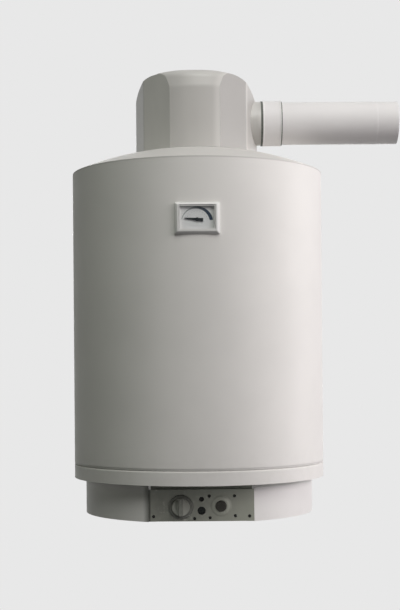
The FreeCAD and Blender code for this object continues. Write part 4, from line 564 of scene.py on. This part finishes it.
def make_finishes():
    """A material for each slot of the record."""
    colours = bpy.context.scene.heater_colours
    return {
        # the casing's enamel has painted shade on the lid above the jacket
        "casing_paint": enamel("casing_enamel", colours.casing, (jacket.low.z, jacket.low.z + 0.05)),
        # the skirt's enamel has a painted shadow beside the control panel's left edge
        "skirt_paint": enamel("skirt_enamel", colours.skirt, (skirt.low.z, skirt.low.z + 0.03),
                              panel.low.x),
        "duct_paint": enamel("duct_enamel", colours.duct),
        # the hood's moulding has a painted highlight along its crease and painted shade on the facet
        # beyond it
        "hood_plastic": hood_moulding("hood_moulding", colours.hood),
        "bezel_plastic": moulded("bezel_moulding", colours.bezel, 0.23),
        "knob_plastic": knob_moulding("knob_moulding", colours.knob),
        "button_plastic": moulded("button_moulding", colours.button, 0.33),
        "cold_blue": moulded("cold_ring_moulding", (0.03, 0.12, 0.5)),
        "hot_red": moulded("hot_ring_moulding", (0.55, 0.03, 0.025)),
        "duct_rubber": grey_rubber("seal_rubber"),
        "plated_steel": zinc_plated("zinc_plate"),
        "flue_aluminium": drawn_metal("flue_sheet", (0.8, 0.81, 0.82), (0.6, 0.6, 0.58), 0.29),
        "magnesium": drawn_metal("anode_metal", (0.62, 0.62, 0.62), (0.4, 0.4, 0.39), 0.44, (1, 1, 0.04)),
        "brass": drawn_metal("turned_brass", (0.8, 0.58, 0.25), (0.5, 0.34, 0.14), 0.22),
        "copper": drawn_metal("copper_tube", (0.85, 0.45, 0.3), (0.42, 0.2, 0.13), stretch=(1, 0.04, 1)),
        # the panel's last tone is the one of its painted light and highlight
        "panel_cast": die_cast("panel_casting", colours.panel, (0.42, 0.41, 0.37), 0.4,
                               scaled(colours.panel, 2.3)),
        "valve_cast": die_cast("valve_casting", (0.5, 0.5, 0.48), (0.7, 0.7, 0.68), 0.32),
        "tank_enamel": glass_lining("tank_lining"),
        "flue_steel": scaled_steel("flame_scaled_steel"),
        "foam": foam("insulation_foam"),
        "gasket_fibre": pressed_fibre("gasket_fibre"),
        "ceramic": glazed_ceramic("glazed_ceramic"),
        "lens_clear": clear_window("dial_window", (0.6, 0.63, 0.68), 0.01, 0.04, 0.08),
        # the flame window is near-black and nearly opaque: painted shade of the dark chamber behind it
        "sight_glass": clear_window("flame_window", (0.008, 0.014, 0.012), 0.92, 0.2, 0.2),
        "dial_print": printed_dial("dial_face", colours.dial),
        "needle_black": matt_black("needle_lacquer"),
        "dark_screw": phosphated("screw_phosphate"),
    }


# Operators

class HEATER_OT_dress_nodes(Operator):
    """Gives every piece of the frame the finish of its material slot."""

    bl_idname = "heater.dress_nodes"
    bl_label = "Dress the Frame's Pieces"

    def execute(self, context):
        finishes = make_finishes()
        for entry in frame["record"]["subparts"]:
            piece = frame["nodes"][entry["node"]]
            for place in piece.material_slots:
                place.material = finishes[entry["material_slot"]]
            if not piece.material_slots:
                raise RuntimeError(f"{piece.name} has no material slot")
        return {"FINISHED"}


def add_primitive(kind, name, **settings):
    """Adds a primitive with nothing else selected, and leaves it in edit mode, selected all over."""
    bpy.ops.object.select_all(action="DESELECT")
    getattr(bpy.ops.mesh, f"primitive_{kind}_add")(enter_editmode=True, **settings)
    bpy.context.object.name = name
    return bpy.context.object


def add_block(name, size, **place):
    """Adds a block of a size, in edit mode."""
    block = add_primitive("cube", name, size=1, **place)
    resize(*size)
    return block


def add_disc(name, radius, depth, vertices):
    """Adds a disc whose top is at height 0, in edit mode."""
    return add_primitive("cylinder", name, vertices=vertices, radius=radius, depth=depth,
                         location=(0, 0, -depth / 2))


def choose(piece, elements, wanted):
    """Selects, in edit mode, only the vertices, edges or faces that pass a test."""
    kinds = {"verts": "VERT", "edges": "EDGE", "faces": "FACE"}
    bpy.ops.mesh.select_mode(type=kinds[elements])
    bpy.ops.mesh.select_all(action="DESELECT")
    mesh = bmesh.from_edit_mesh(piece.data)
    chosen = [element for element in getattr(mesh, elements) if wanted(element)]
    if not chosen:
        raise RuntimeError(f"{piece.name}: nothing to shape")
    for element in chosen:
        element.select_set(True)
    mesh.select_flush_mode()
    bmesh.update_edit_mesh(piece.data)


def middle_of(edge):
    return (edge.verts[0].co + edge.verts[1].co) / 2


def is_level(edge):
    return abs(edge.verts[0].co.z - edge.verts[1].co.z) < 1e-6


def faces_up(face):
    return face.normal.z > 0.9


def faces_down(face):
    return face.normal.z < -0.9


def move(x=0.0, y=0.0, z=0.0):
    bpy.ops.transform.translate(value=(x, y, z))


def resize(x, y, z):
    bpy.ops.transform.resize(value=(x, y, z))


def pull(distance):
    """Extrudes the chosen faces straight up."""
    bpy.ops.mesh.extrude_region_move(TRANSFORM_OT_translate={"value": (0, 0, distance)})


def ease(piece, width, segments, wanted):
    """Rounds the edges that pass a test."""
    choose(piece, "edges", wanted)
    bpy.ops.mesh.bevel(offset=width, segments=segments, affect="EDGES")


def leave(piece, crease=30):
    """Leaves edit mode with faces outwards, smooth up to sharp edges and with the place in the mesh."""
    bpy.ops.mesh.select_all(action="SELECT")
    bpy.ops.mesh.remove_doubles(threshold=1e-6)
    bpy.ops.mesh.normals_make_consistent(inside=False)
    bpy.ops.object.mode_set(mode="OBJECT")
    smooth(piece, crease)
    keep_place(piece)
    return piece


def select_only(*pieces):
    bpy.ops.object.select_all(action="DESELECT")
    for piece in pieces:
        piece.select_set(True)
    bpy.context.view_layer.objects.active = pieces[0]


def smooth(piece, crease=30):
    select_only(piece)
    bpy.ops.object.shade_smooth_by_angle(angle=math.radians(crease))


def copy_of(piece, name):
    """A copy with its own mesh."""
    select_only(piece)
    bpy.ops.object.duplicate()
    bpy.context.object.name = name
    return bpy.context.object


def joined(first, *others):
    select_only(first, *others)
    bpy.ops.object.join()
    return first


def cut_away(piece, tool):
    """Takes a tool's form out of a piece, and removes the tool."""
    select_only(piece)
    cut = piece.modifiers.new("cut", "BOOLEAN")
    cut.operation = "DIFFERENCE"
    cut.solver = "EXACT"
    cut.object = tool
    bpy.ops.object.modifier_apply(modifier=cut.name)
    bpy.data.objects.remove(tool)


def settle(piece, across, front, up):
    """Puts a piece that was drawn flat, with Z towards the viewer, in its place on the front."""
    piece.rotation_euler = (math.pi / 2, 0, 0)
    piece.location = (across, front, up)
    keep_place(piece)


def keep_place(piece):
    """Moves a piece's place into its mesh."""
    select_only(piece)
    bpy.ops.object.transform_apply(location=True, rotation=True, scale=True)


def declare(piece, body, slot, material=None):
    """Makes a piece ride on a body and gives it a finish."""
    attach(piece, body)
    piece.data.materials.clear()
    piece.data.materials.append(material or slot_finish(slot))


def slot_finish(slot):
    """The material that the frame's pieces of a slot wear."""
    for entry in frame["record"]["subparts"]:
        if entry["material_slot"] == slot:
            return frame["nodes"][entry["node"]].material_slots[0].material
    raise RuntimeError(f"no piece wears {slot}")


def domed_screw(name, radius, shank):
    """A domed head with a cross recess, its top at height 0, and a shank of a length below it."""
    depth = radius * SCREW_HEAD_DEPTH
    screw = add_disc(name, radius, depth, 32)
    ease(screw, radius * 0.3, 4, lambda edge: middle_of(edge).z > depth * 0.4 and is_level(edge))
    choose(screw, "faces", faces_down)
    bpy.ops.mesh.inset(thickness=radius * 0.45)
    pull(-shank)
    leave(screw)
    arm_length, arm_width, recess = radius * 1.25, radius * 0.3, radius * 0.7
    for number, (across, up) in enumerate(((arm_length, arm_width), (arm_width, arm_length)), start=1):
        arm = add_block(f"cross_{number}", (across, up, recess))
        choose(arm, "faces", faces_down)
        resize(0.75, 0.75, 1)
        cut_away(screw, leave(arm))
    smooth(screw)
    return screw


class HEATER_OT_add_dial_frame(Operator):
    """Puts a frame with sloping sides and a deep lower rim in place of the thermometer's plain one."""

    bl_idname = "heater.add_dial_frame"
    bl_label = "Add the Thermometer's Frame"

    slope: length("Slope", "Width of the sloping outer sides", 0.0041, min=0.0005)
    slope_height: length("Slope height", "Height of the sloping outer sides", 0.0046, min=0.0005)
    side_rim: length("Side rim", "Width of the frame at its left and right", 0.0083, min=0.001)
    top_rim: length("Top rim", "Width of the frame at its top", 0.0052, min=0.001)
    lower_rim: length("Lower rim", "Width of the frame at its bottom", 0.0097, min=0.001)
    lip: length("Lip", "Thickness of the rim where it covers the edge of the case", 0.0009, min=0.0002)
    corner: length("Corner", "Rounding of the frame's four corners", 0.0012, min=0.0001)
    edge: length("Edge", "Rounding of the front's outer edge", 0.0007, min=0.0001)
    flare: length("Flare", "How far the window's sides slope outwards to the front", 0.0012, min=0)
    case_room: length("Case room", "Clearance round the thermometer's case", 0.0003, min=0)

    def execute(self, context):
        rim = self.make_rim()
        cut_away(rim, self.make_opening(
            "window", bezel.size.x - 2 * self.side_rim, bezel.size.z - self.top_rim - self.lower_rim,
            (self.lower_rim - self.top_rim) / 2, OVERCUT, self.flare))
        cut_away(rim, self.make_opening(
            "case_room", case.size.x + 2 * self.case_room, case.size.z + 2 * self.case_room,
            case.middle.z - bezel.middle.z, -self.lip, 0))
        settle(rim, bezel.middle.x, bezel.low.y, bezel.middle.z)
        cut_away(rim, self.make_jacket_form())
        smooth(rim)
        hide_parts("thermometer_bezel")
        declare(rim, "heater", "bezel_plastic")
        return {"FINISHED"}

    def make_rim(self):
        """A block whose front is narrower than its foot, with its edges eased."""
        width, height, depth = bezel.size.x, bezel.size.z, bezel.size.y
        rim = add_block("thermometer_frame", (width, height, depth - self.slope_height))
        move(z=-(depth + self.slope_height) / 2)
        choose(rim, "faces", faces_up)
        pull(self.slope_height)
        resize(1 - 2 * self.slope / width, 1 - 2 * self.slope / height, 1)
        ease(rim, self.corner, 4, lambda side: not is_level(side))
        ease(rim, self.edge, 3, lambda side: min(end.co.z for end in side.verts) > -0.0001)
        return leave(rim)

    def make_opening(self, name, width, height, raised, front, flare):
        """A block in the shape of an opening, from a front backwards, and wider there by a flare."""
        depth = bezel.size.y + 0.001
        opening = add_block(name, (width, height, depth))
        move(y=raised, z=front - depth / 2)
        choose(opening, "faces", faces_up)
        resize(1 + 2 * flare / width, 1 + 2 * flare / height, 1)
        return leave(opening)

    def make_jacket_form(self):
        """The jacket's round, to fit the frame's back to."""
        form = add_primitive("cylinder", "jacket_form", vertices=512, radius=jacket.size.x / 2,
                             depth=bezel.size.z * 2,
                             location=(jacket.middle.x, jacket.middle.y, bezel.middle.z))
        bpy.ops.object.mode_set(mode="OBJECT")
        keep_place(form)
        return form


class HEATER_OT_add_dial_scale(Operator):
    """Adds the dial's printed scale: a band that swells towards the hot end, and fine ticks."""

    bl_idname = "heater.add_dial_scale"
    bl_label = "Add the Dial's Scale"

    hot_end: angle("Hot end", "Angle of the scale's hot end above the right", math.radians(9))
    cold_end: angle("Cold end", "Angle of the scale's cold end above the right", math.radians(166))
    print_height: length("Print height", "Height of the print above the dial", 0.00012, min=0.00001)
    tick_length: length("Tick length", "Length of a fine mark", 0.0018, min=0.0001)
    tick_width: length("Tick width", "Width of a fine mark", 0.0003, min=0.0001)
    tick_gap: length("Tick gap", "From the scale's inside to the middle of a fine mark", 0.0022, min=0)

    def execute(self, context):
        sizes, colours = context.scene.heater_sizes, context.scene.heater_colours
        scale = joined(self.make_band(sizes), self.make_ticks(sizes))
        settle(scale, dial.middle.x, dial.low.y, bezel.middle.z - sizes.scale_drop)
        declare(scale, "heater", "dial_print",
                scale_ink("scale_ink", colours.scale_cold, colours.scale_hot))
        return {"FINISHED"}

    def make_band(self, sizes):
        """Half a plane at the hot end, spun to the cold end, with its inner edge moved sideways."""
        outer, width = sizes.scale_radius, sizes.scale_width
        inner = outer - width
        band = add_primitive("plane", "dial_scale", size=width, location=(outer - width / 2, 0, 0))
        choose(band, "verts", lambda corner: corner.co.y > 0)
        bpy.ops.mesh.delete(type="VERT")
        bpy.ops.mesh.select_all(action="SELECT")
        move(y=width / 2)
        bpy.ops.object.mode_set(mode="OBJECT")
        band.rotation_euler.z = self.hot_end
        turn = Vector((math.cos(self.hot_end), math.sin(self.hot_end), 0))
        band.location = turn * (outer - width / 2)
        keep_place(band)
        bpy.ops.object.mode_set(mode="EDIT")
        bpy.ops.mesh.select_all(action="SELECT")
        bpy.ops.mesh.spin(steps=48, angle=self.cold_end - self.hot_end, center=(0, 0, 0), axis=(0, 0, -1))
        choose(band, "verts", lambda corner: corner.co.length < (inner + outer) / 2)
        move(x=-sizes.scale_swell)
        low = math.sin(self.hot_end) * outer + width * 0.1
        choose(band, "verts", lambda corner: corner.co.x > 0 and corner.co.y < low)
        bpy.ops.mesh.bevel(offset=width * 0.55, offset_type="OFFSET", segments=5, affect="VERTICES")
        bpy.ops.mesh.select_all(action="SELECT")
        pull(self.print_height)
        return leave(band)

    def make_ticks(self, sizes):
        """A fine mark with rounded ends, spun into a row inside the band."""
        inner = sizes.scale_radius - sizes.scale_width - sizes.scale_swell
        ticks = add_block("dial_ticks", (self.tick_length, self.tick_width, self.print_height * 2))
        move(x=inner - self.tick_gap)
        ease(ticks, self.tick_width / 3, 2, lambda edge: not is_level(edge))
        bpy.ops.object.mode_set(mode="OBJECT")
        ticks.rotation_euler.z = self.hot_end * 2
        keep_place(ticks)
        bpy.ops.object.mode_set(mode="EDIT")
        bpy.ops.mesh.select_all(action="SELECT")
        bpy.ops.mesh.spin(steps=sizes.scale_ticks - 1, angle=math.pi - self.hot_end * 4, dupli=True,
                          center=(0, 0, 0), axis=(0, 0, -1))
        return leave(ticks)


class HEATER_OT_add_panel_screws(Operator):
    """Adds the panel's cross-recessed screws in place of the frame's plain ones."""

    bl_idname = "heater.add_panel_screws"
    bl_label = "Add the Panel's Screws"

    turn: angle("Turn", "How much further each screw is turned than the last", 0.7)

    def execute(self, context):
        radius = context.scene.heater_sizes.screw_radius
        first = domed_screw("panel_screw_heads", radius, sunk_screws.size.y - radius * SCREW_HEAD_DEPTH)
        copies = [copy_of(first, f"screw_{number}") for number in range(2, len(PANEL_SCREWS) + 1)]
        screws = [first, *copies]
        for step, (screw, (across, height)) in enumerate(zip(screws, PANEL_SCREWS)):
            screw.rotation_euler.z = step * self.turn
            keep_place(screw)
            settle(screw, panel.middle.x + across, sunk_screws.low.y, skirt.low.z + height)
        whole = joined(*screws)
        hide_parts("panel_screws")
        declare(whole, "heater", "dark_screw")
        return {"FINISHED"}


class HEATER_OT_add_adjuster(Operator):
    """Adds the pilot flame's slotted adjuster in the panel's small upper hole."""

    bl_idname = "heater.add_adjuster"
    bl_label = "Add the Pilot Adjuster"

    radius: length("Radius", "Radius of the adjuster's cap", 0.0041, min=0.001)
    depth: length("Depth", "Thickness of the cap", 0.0035, min=0.001)
    dish: length("Dish", "How far the cap's middle lies below its rim", 0.0006, min=0)
    slot_depth: length("Slot depth", "How far the slot goes below the rim", 0.0017, min=0.0005)
    sunk: length("Sunk", "How far the rim lies behind the panel screws' heads", 0.0012, min=0)
    turn: angle("Turn", "How far the slot is turned", 0.5)

    def execute(self, context):
        radius = self.radius
        plug = add_disc("pilot_adjuster", radius, self.depth, 40)
        ease(plug, radius * 0.2, 3,
             lambda edge: middle_of(edge).z > self.depth * 0.4 and is_level(edge))
        choose(plug, "faces", lambda face: faces_up(face) and face.calc_area() > radius * radius)
        bpy.ops.mesh.inset(thickness=radius * 0.2)
        pull(-self.dish)
        leave(plug)
        slot = add_block("adjuster_slot", (radius * 1.2, radius * 0.28, self.slot_depth * 2))
        ease(slot, radius * 0.06, 2, lambda edge: middle_of(edge).z < -self.slot_depth / 2)
        cut_away(plug, leave(slot))
        plug.rotation_euler.z = self.turn
        keep_place(plug)
        settle(plug, panel.middle.x, sunk_screws.low.y + self.sunk, skirt.low.z + SMALL_HOLE_HEIGHT)
        declare(plug, "heater", "dark_screw")
        return {"FINISHED"}


class HEATER_OT_add_button_grip(Operator):
    """Adds the raised dots that keep a thumb from slipping off the igniter button."""

    bl_idname = "heater.add_button_grip"
    bl_label = "Add the Button's Dots"

    spacing: length("Spacing", "Distance between the dots", 0.0024, min=0.001)

    def execute(self, context):
        spacing = self.spacing
        reach = button.size.x / 2 * 0.62
        first = add_primitive("uv_sphere", "button_dot_1", segments=12, ring_count=6,
                              radius=spacing * 0.3)
        resize(1, 1, 0.6)
        choose(first, "verts", lambda corner: corner.co.z < -spacing * 0.1)
        resize(1.1, 1.1, 0.2)
        leave(first, 50)
        rows = range(-int(reach / spacing), int(reach / spacing) + 1)
        places = [(column * spacing, row * spacing) for column in rows for row in rows
                  if 0 < math.hypot(column, row) * spacing <= reach]
        dots = [copy_of(first, f"button_dot_{number}") for number, place in enumerate(places, start=2)]
        for dot, (across, up) in zip(dots, places):
            dot.location = (across, up, 0)
            keep_place(dot)
        whole = joined(first, *dots)
        whole.name = "button_dots"
        settle(whole, button.middle.x, button.low.y, button.middle.z)
        declare(whole, "igniter_button", "button_plastic")
        return {"FINISHED"}


class HEATER_OT_add_knob_marks(Operator):
    """Adds the pointer line on the knob's grip and the fine ribs round its disc."""

    bl_idname = "heater.add_knob_marks"
    bl_label = "Add the Knob's Marks"

    ribs: count("Ribs", "Ribs round the knob's disc", 48, 12, 96)
    rib_width: length("Rib width", "Width of a rib", 0.0009, min=0.0002)
    rib_length: length("Rib length", "Length of a rib, from front to back", 0.0034, min=0.0005)
    rib_depth: length("Rib depth", "From the disc's front to the middle of a rib", 0.002, min=0)
    pointer_length: length("Pointer length", "Length of the line on the grip", 0.007, min=0.001)
    pointer_width: length("Pointer width", "Width of the line on the grip", 0.0012, min=0.0002)
    pointer_height: length("Pointer height", "Thickness of the line, half of it proud", 0.0005,
                           min=0.0001)
    pointer_reach: length("Pointer reach", "From the knob's middle to the line's", 0.0105, min=0)

    def execute(self, context):
        self.add_pointer(context.scene.heater_colours)
        self.add_ribs()
        return {"FINISHED"}

    def add_pointer(self, colours):
        """A painted line on the grip, with its ends and sides eased."""
        size = (self.pointer_width, self.pointer_length, self.pointer_height)
        pointer = add_block("knob_pointer", size, location=(0, self.pointer_reach, 0))
        ease(pointer, self.pointer_width / 6, 3, lambda edge: middle_of(edge).z > 0.0001)
        leave(pointer)
        settle(pointer, knob.middle.x, knob.low.y, knob.middle.z)
        declare(pointer, "knob", "knob_plastic",
                moulded("pointer_paint", scaled(colours.knob, 1.5), 0.28))

    def add_ribs(self):
        """Ribs on the side of the raised disc, down to the rim."""
        ribs = add_block("knob_ribs", (self.rib_width, self.rib_width, self.rib_length),
                         location=(KNOB_DISC_RADIUS, 0, -self.rib_depth))
        ease(ribs, self.rib_width / 3, 2, lambda edge: middle_of(edge).x > self.rib_width / 3)
        bpy.ops.mesh.select_all(action="SELECT")
        bpy.ops.mesh.spin(steps=self.ribs, angle=math.tau, dupli=True, center=(0, 0, 0), axis=(0, 0, 1))
        leave(ribs)
        settle(ribs, knob.middle.x, knob.low.y + KNOB_GRIP_RAISE, knob.middle.z)
        declare(ribs, "knob", "knob_plastic")


class HEATER_OT_add_threads(Operator):
    """Adds the pipe threads at the lower ends of the water and gas pipes."""

    bl_idname = "heater.add_threads"
    bl_label = "Add the Pipe Threads"

    turns: count("Turns", "Turns of each thread", 7, 2, 20)

    def execute(self, context):
        cold = self.make_thread(context.scene.heater_sizes.thread_pitch)
        threads = (cold, copy_of(cold, "hot_thread"), copy_of(cold, "gas_thread"))
        places = (cold_pipe.middle.xy, hot_pipe.middle.xy, GAS_THREAD)
        for thread, place in zip(threads, places):
            thread.location = (*place, cold_pipe.low.z)
            keep_place(thread)
            declare(thread, "heater", "plated_steel")
        return {"FINISHED"}

    def make_thread(self, pitch):
        """A ridge of three sides that winds up from height 0, a little proud of the pipe."""
        ridge = add_primitive("circle", "cold_thread", vertices=3, radius=pitch * 0.44,
                              rotation=(math.pi / 2, math.pi / 2, 0),
                              location=(THREAD_RADIUS, 0, pitch * 0.7))
        bpy.ops.object.mode_set(mode="OBJECT")
        keep_place(ridge)
        winding = ridge.modifiers.new("winding", "SCREW")
        winding.axis = "Z"
        winding.screw_offset = pitch
        winding.iterations = self.turns
        winding.steps = winding.render_steps = 32
        bpy.ops.object.modifier_apply(modifier=winding.name)
        bpy.ops.object.mode_set(mode="EDIT")
        bpy.ops.mesh.select_all(action="SELECT")
        bpy.ops.mesh.fill_holes(sides=0)
        return leave(ridge, 40)


class HEATER_OT_add_back_details(Operator):
    """Adds the jacket's folded seam and the hood's two fixing screws at the back."""

    bl_idname = "heater.add_back_details"
    bl_label = "Add the Back's Details"

    seam_width: length("Seam width", "Width of the jacket's folded seam", 0.011, min=0.002)
    seam_sheet: length("Seam sheet", "Thickness of the fold, half of it proud of the jacket", 0.0008,
                       min=0.0002)
    seam_lock: length("Seam lock", "How far the seam's raised middle stands above the fold", 0.0007,
                      min=0.0001)
    seam_turn: angle("Seam place", "Angle of the seam from the back's middle", math.radians(52))
    seam_margin: length("Seam margin", "How much shorter the seam is than the jacket", 0.03, min=0)
    screw_radius: length("Screw head", "Radius of the hood's fixing screws", 0.0045, min=0.001)
    screw_length: length("Screw length", "Length of the screws' shanks", 0.006, min=0.001)
    screw_height: length("Screw height", "Height of the screws above the jacket", 0.058, min=0)
    left_screw: length("Left screw", "Place of the left screw, across from the middle", -0.028)
    right_screw: length("Right screw", "Place of the right screw, across from the middle", 0.022)

    def execute(self, context):
        self.add_seam()
        left = domed_screw("hood_screws", self.screw_radius, self.screw_length)
        right = copy_of(left, "hood_screw_right")
        for screw, across in ((left, self.left_screw), (right, self.right_screw)):
            screw.rotation_euler = (-math.pi / 2, 0, 0)
            screw.location = (across, hood.high.y + self.screw_radius * 0.35,
                              jacket.high.z + self.screw_height)
            keep_place(screw)
        joined(left, right)
        declare(left, "heater", "plated_steel")
        return {"FINISHED"}

    def add_seam(self):
        """A flat fold with a raised lock along its middle, drawn along X and stood up."""
        size = (jacket.size.z - self.seam_margin, self.seam_width, self.seam_sheet)
        seam = add_block("jacket_seam", size)
        choose(seam, "faces", faces_up)
        bpy.ops.mesh.inset(thickness=self.seam_width * 0.28)
        pull(self.seam_lock)
        resize(1, 0.8, 1)
        ease(seam, self.seam_sheet / 4, 2, lambda edge: middle_of(edge).z > self.seam_sheet / 4)
        leave(seam)
        seam.rotation_euler = (math.pi / 2, -math.pi / 2, math.pi - self.seam_turn)
        away = Vector((math.sin(self.seam_turn), math.cos(self.seam_turn), 0))
        seam.location = jacket.middle + away * (jacket.size.x / 2)
        keep_place(seam)
        declare(seam, "heater", "casing_paint")


def add_lamp(name, watts, tone, azimuth, elevation, target):
    """A soft square lamp that faces a point, from an azimuth to the right of the front."""
    turn, rise = math.radians(azimuth), math.radians(elevation)
    away = Vector((math.sin(turn) * math.cos(rise), -math.cos(turn) * math.cos(rise), math.sin(rise)))
    bpy.ops.object.light_add(type="AREA", location=target + away * LAMP_DISTANCE)
    lamp = bpy.context.object
    lamp.name = name
    lamp.rotation_euler = away.to_track_quat("Z", "Y").to_euler()
    lamp.data.shape = "SQUARE"
    lamp.data.size = LAMP_SIZE
    lamp.data.energy = watts
    lamp.data.color = tone
    lamp.visible_camera = False
    return lamp


def seen_or_reflected(nodes, links):
    """1 on rays that the camera, a reflection or a clear piece sends out, and 0 on light's own."""
    path = nodes.new("ShaderNodeLightPath")
    total = path.outputs["Is Camera Ray"]
    for name in ("Is Glossy Ray", "Is Transmission Ray"):
        larger = nodes.new("ShaderNodeMath")
        larger.operation = "MAXIMUM"
        links.new(total, larger.inputs[0])
        links.new(path.outputs[name], larger.inputs[1])
        total = larger.outputs[0]
    return total


class HEATER_OT_add_stage(Operator):
    """Adds the camera, the lamps, the background and the round floor."""

    bl_idname = "heater.add_stage"
    bl_label = "Add the Stage"

    def execute(self, context):
        stage = context.scene.heater_stage
        self.add_camera(context)
        middle = (cad_box[0] + cad_box[1]) / 2
        middle.x = 0
        for name, azimuth, elevation, watts, tone in (
                ("front_lamp", 10, 50, stage.front_power, (0.98, 1, 0.95)),
                ("key_lamp", 55, 22, stage.key_power, (1, 0.925, 0.96)),
                ("side_lamp", 100, 3, stage.side_power, (1, 0.965, 0.98)),
                ("top_lamp", 20, 84, stage.top_power, (1, 0.98, 1)),
                ("left_lamp", -75, 15, stage.left_power, (0.95, 1, 0.8)),
                ("back_lamp", 180, 8, stage.back_power, (1, 1, 1))):
            add_lamp(name, watts, tone, azimuth, elevation, middle)
        self.add_world(context, stage)
        self.add_floor(context, stage)
        return {"FINISHED"}

    def add_camera(self, context):
        eye = (0, jacket.middle.y - CAMERA_DISTANCE, skirt.low.z + EYE_ABOVE_SKIRT)
        bpy.ops.object.camera_add(location=eye, rotation=(math.pi / 2, math.radians(CAMERA_LEAN), 0))
        camera = bpy.context.object
        camera.name = "photo_camera"
        camera.data.sensor_width = SENSOR
        camera.data.lens = FOCAL_PIXELS * SENSOR / FRAME_HEIGHT
        camera.data.shift_x = AXIS_LEFT_OF_CENTRE / FRAME_HEIGHT
        camera.data.shift_y = HORIZON_BELOW_CENTRE / FRAME_HEIGHT
        context.scene.camera = camera

    def add_world(self, context, stage):
        world = bpy.data.worlds.new("studio")
        context.scene.world = world
        world.use_nodes = True
        nodes, links = world.node_tree.nodes, world.node_tree.links
        nodes.clear()
        output = nodes.new("ShaderNodeOutputWorld")
        mixed = nodes.new("ShaderNodeMixShader")
        for place, tone in ((1, stage.ambient), (2, stage.background)):
            light = nodes.new("ShaderNodeBackground")
            light.inputs["Color"].default_value = (*tone, 1)
            links.new(light.outputs[0], mixed.inputs[place])
        links.new(seen_or_reflected(nodes, links), mixed.inputs[0])
        links.new(mixed.outputs[0], output.inputs["Surface"])

    def add_floor(self, context, stage):
        middle = (0, jacket.middle.y, skirt.low.z - stage.floor_drop)
        bpy.ops.mesh.primitive_circle_add(vertices=96, radius=stage.floor_radius, fill_type="NGON",
                                          location=middle)
        floor = bpy.context.object
        floor.name = "floor"
        keep_place(floor)
        floor.data.materials.append(self.make_floor_finish(stage, middle))

    def make_floor_finish(self, stage, middle):
        """Shows the background's tone, keeps the heater's shadow and throws little light upwards."""
        finish = Finish("pale_floor")
        tone = stage.background
        seen = Wire(finish, seen_or_reflected(finish.tree.nodes, finish.tree.links))
        grainy = finish.varied(finish.noise(0.05, 3.0), tone, 0.86, 0.92)
        lit = finish.node("ShaderNodeBsdfPrincipled", {}, {
            "Base Color": finish.mix(seen, scaled(tone, stage.floor_bounce), grainy),
            "Roughness": 0.8, "Specular IOR Level": 0.1})
        flat = finish.node("ShaderNodeEmission", {}, {"Color": tone})
        paling = finish.distance(middle, "X", "Y").rises(0.2, stage.floor_radius * 0.85) * 0.55 + 0.45
        mixed = finish.node("ShaderNodeMixShader", {}, {0: seen * paling, 1: lit, 2: flat})
        finish.tree.links.new(mixed.socket, finish.output.inputs["Surface"])
        return finish.material


class HEATER_PT_panel(Panel):
    """Lists the steps that dress the heater."""

    bl_idname = "HEATER_PT_panel"
    bl_label = "Gas Water Heater"
    bl_space_type = "VIEW_3D"
    bl_region_type = "UI"
    bl_category = "Heater"

    def draw(self, context):
        for step in STEPS:
            self.layout.operator(step.bl_idname)
        scene = context.scene
        for group in (scene.heater_colours, scene.heater_sizes, scene.heater_stage):
            for name in group.__annotations__:
                self.layout.prop(group, name)


STEPS = (HEATER_OT_dress_nodes, HEATER_OT_add_dial_frame, HEATER_OT_add_dial_scale,
         HEATER_OT_add_panel_screws, HEATER_OT_add_adjuster, HEATER_OT_add_button_grip,
         HEATER_OT_add_knob_marks, HEATER_OT_add_threads, HEATER_OT_add_back_details,
         HEATER_OT_add_stage)
CLASSES = (HeaterColours, HeaterSizes, HeaterStage, *STEPS, HEATER_PT_panel)


def register():
    for each in CLASSES:
        bpy.utils.register_class(each)
    bpy.types.Scene.heater_colours = PointerProperty(type=HeaterColours)
    bpy.types.Scene.heater_sizes = PointerProperty(type=HeaterSizes)
    bpy.types.Scene.heater_stage = PointerProperty(type=HeaterStage)


def unregister():
    del bpy.types.Scene.heater_stage
    del bpy.types.Scene.heater_sizes
    del bpy.types.Scene.heater_colours
    for each in reversed(CLASSES):
        bpy.utils.unregister_class(each)


def main():
    register()
    bpy.context.scene.view_settings.view_transform = "Standard"
    bpy.ops.heater.dress_nodes()
    bpy.ops.heater.add_dial_frame()
    bpy.ops.heater.add_dial_scale()
    bpy.ops.heater.add_panel_screws()
    bpy.ops.heater.add_adjuster()
    bpy.ops.heater.add_button_grip()
    bpy.ops.heater.add_knob_marks()
    bpy.ops.heater.add_threads()
    bpy.ops.heater.add_back_details()
    bpy.ops.heater.add_stage()


if __name__ == "__main__":
    main()
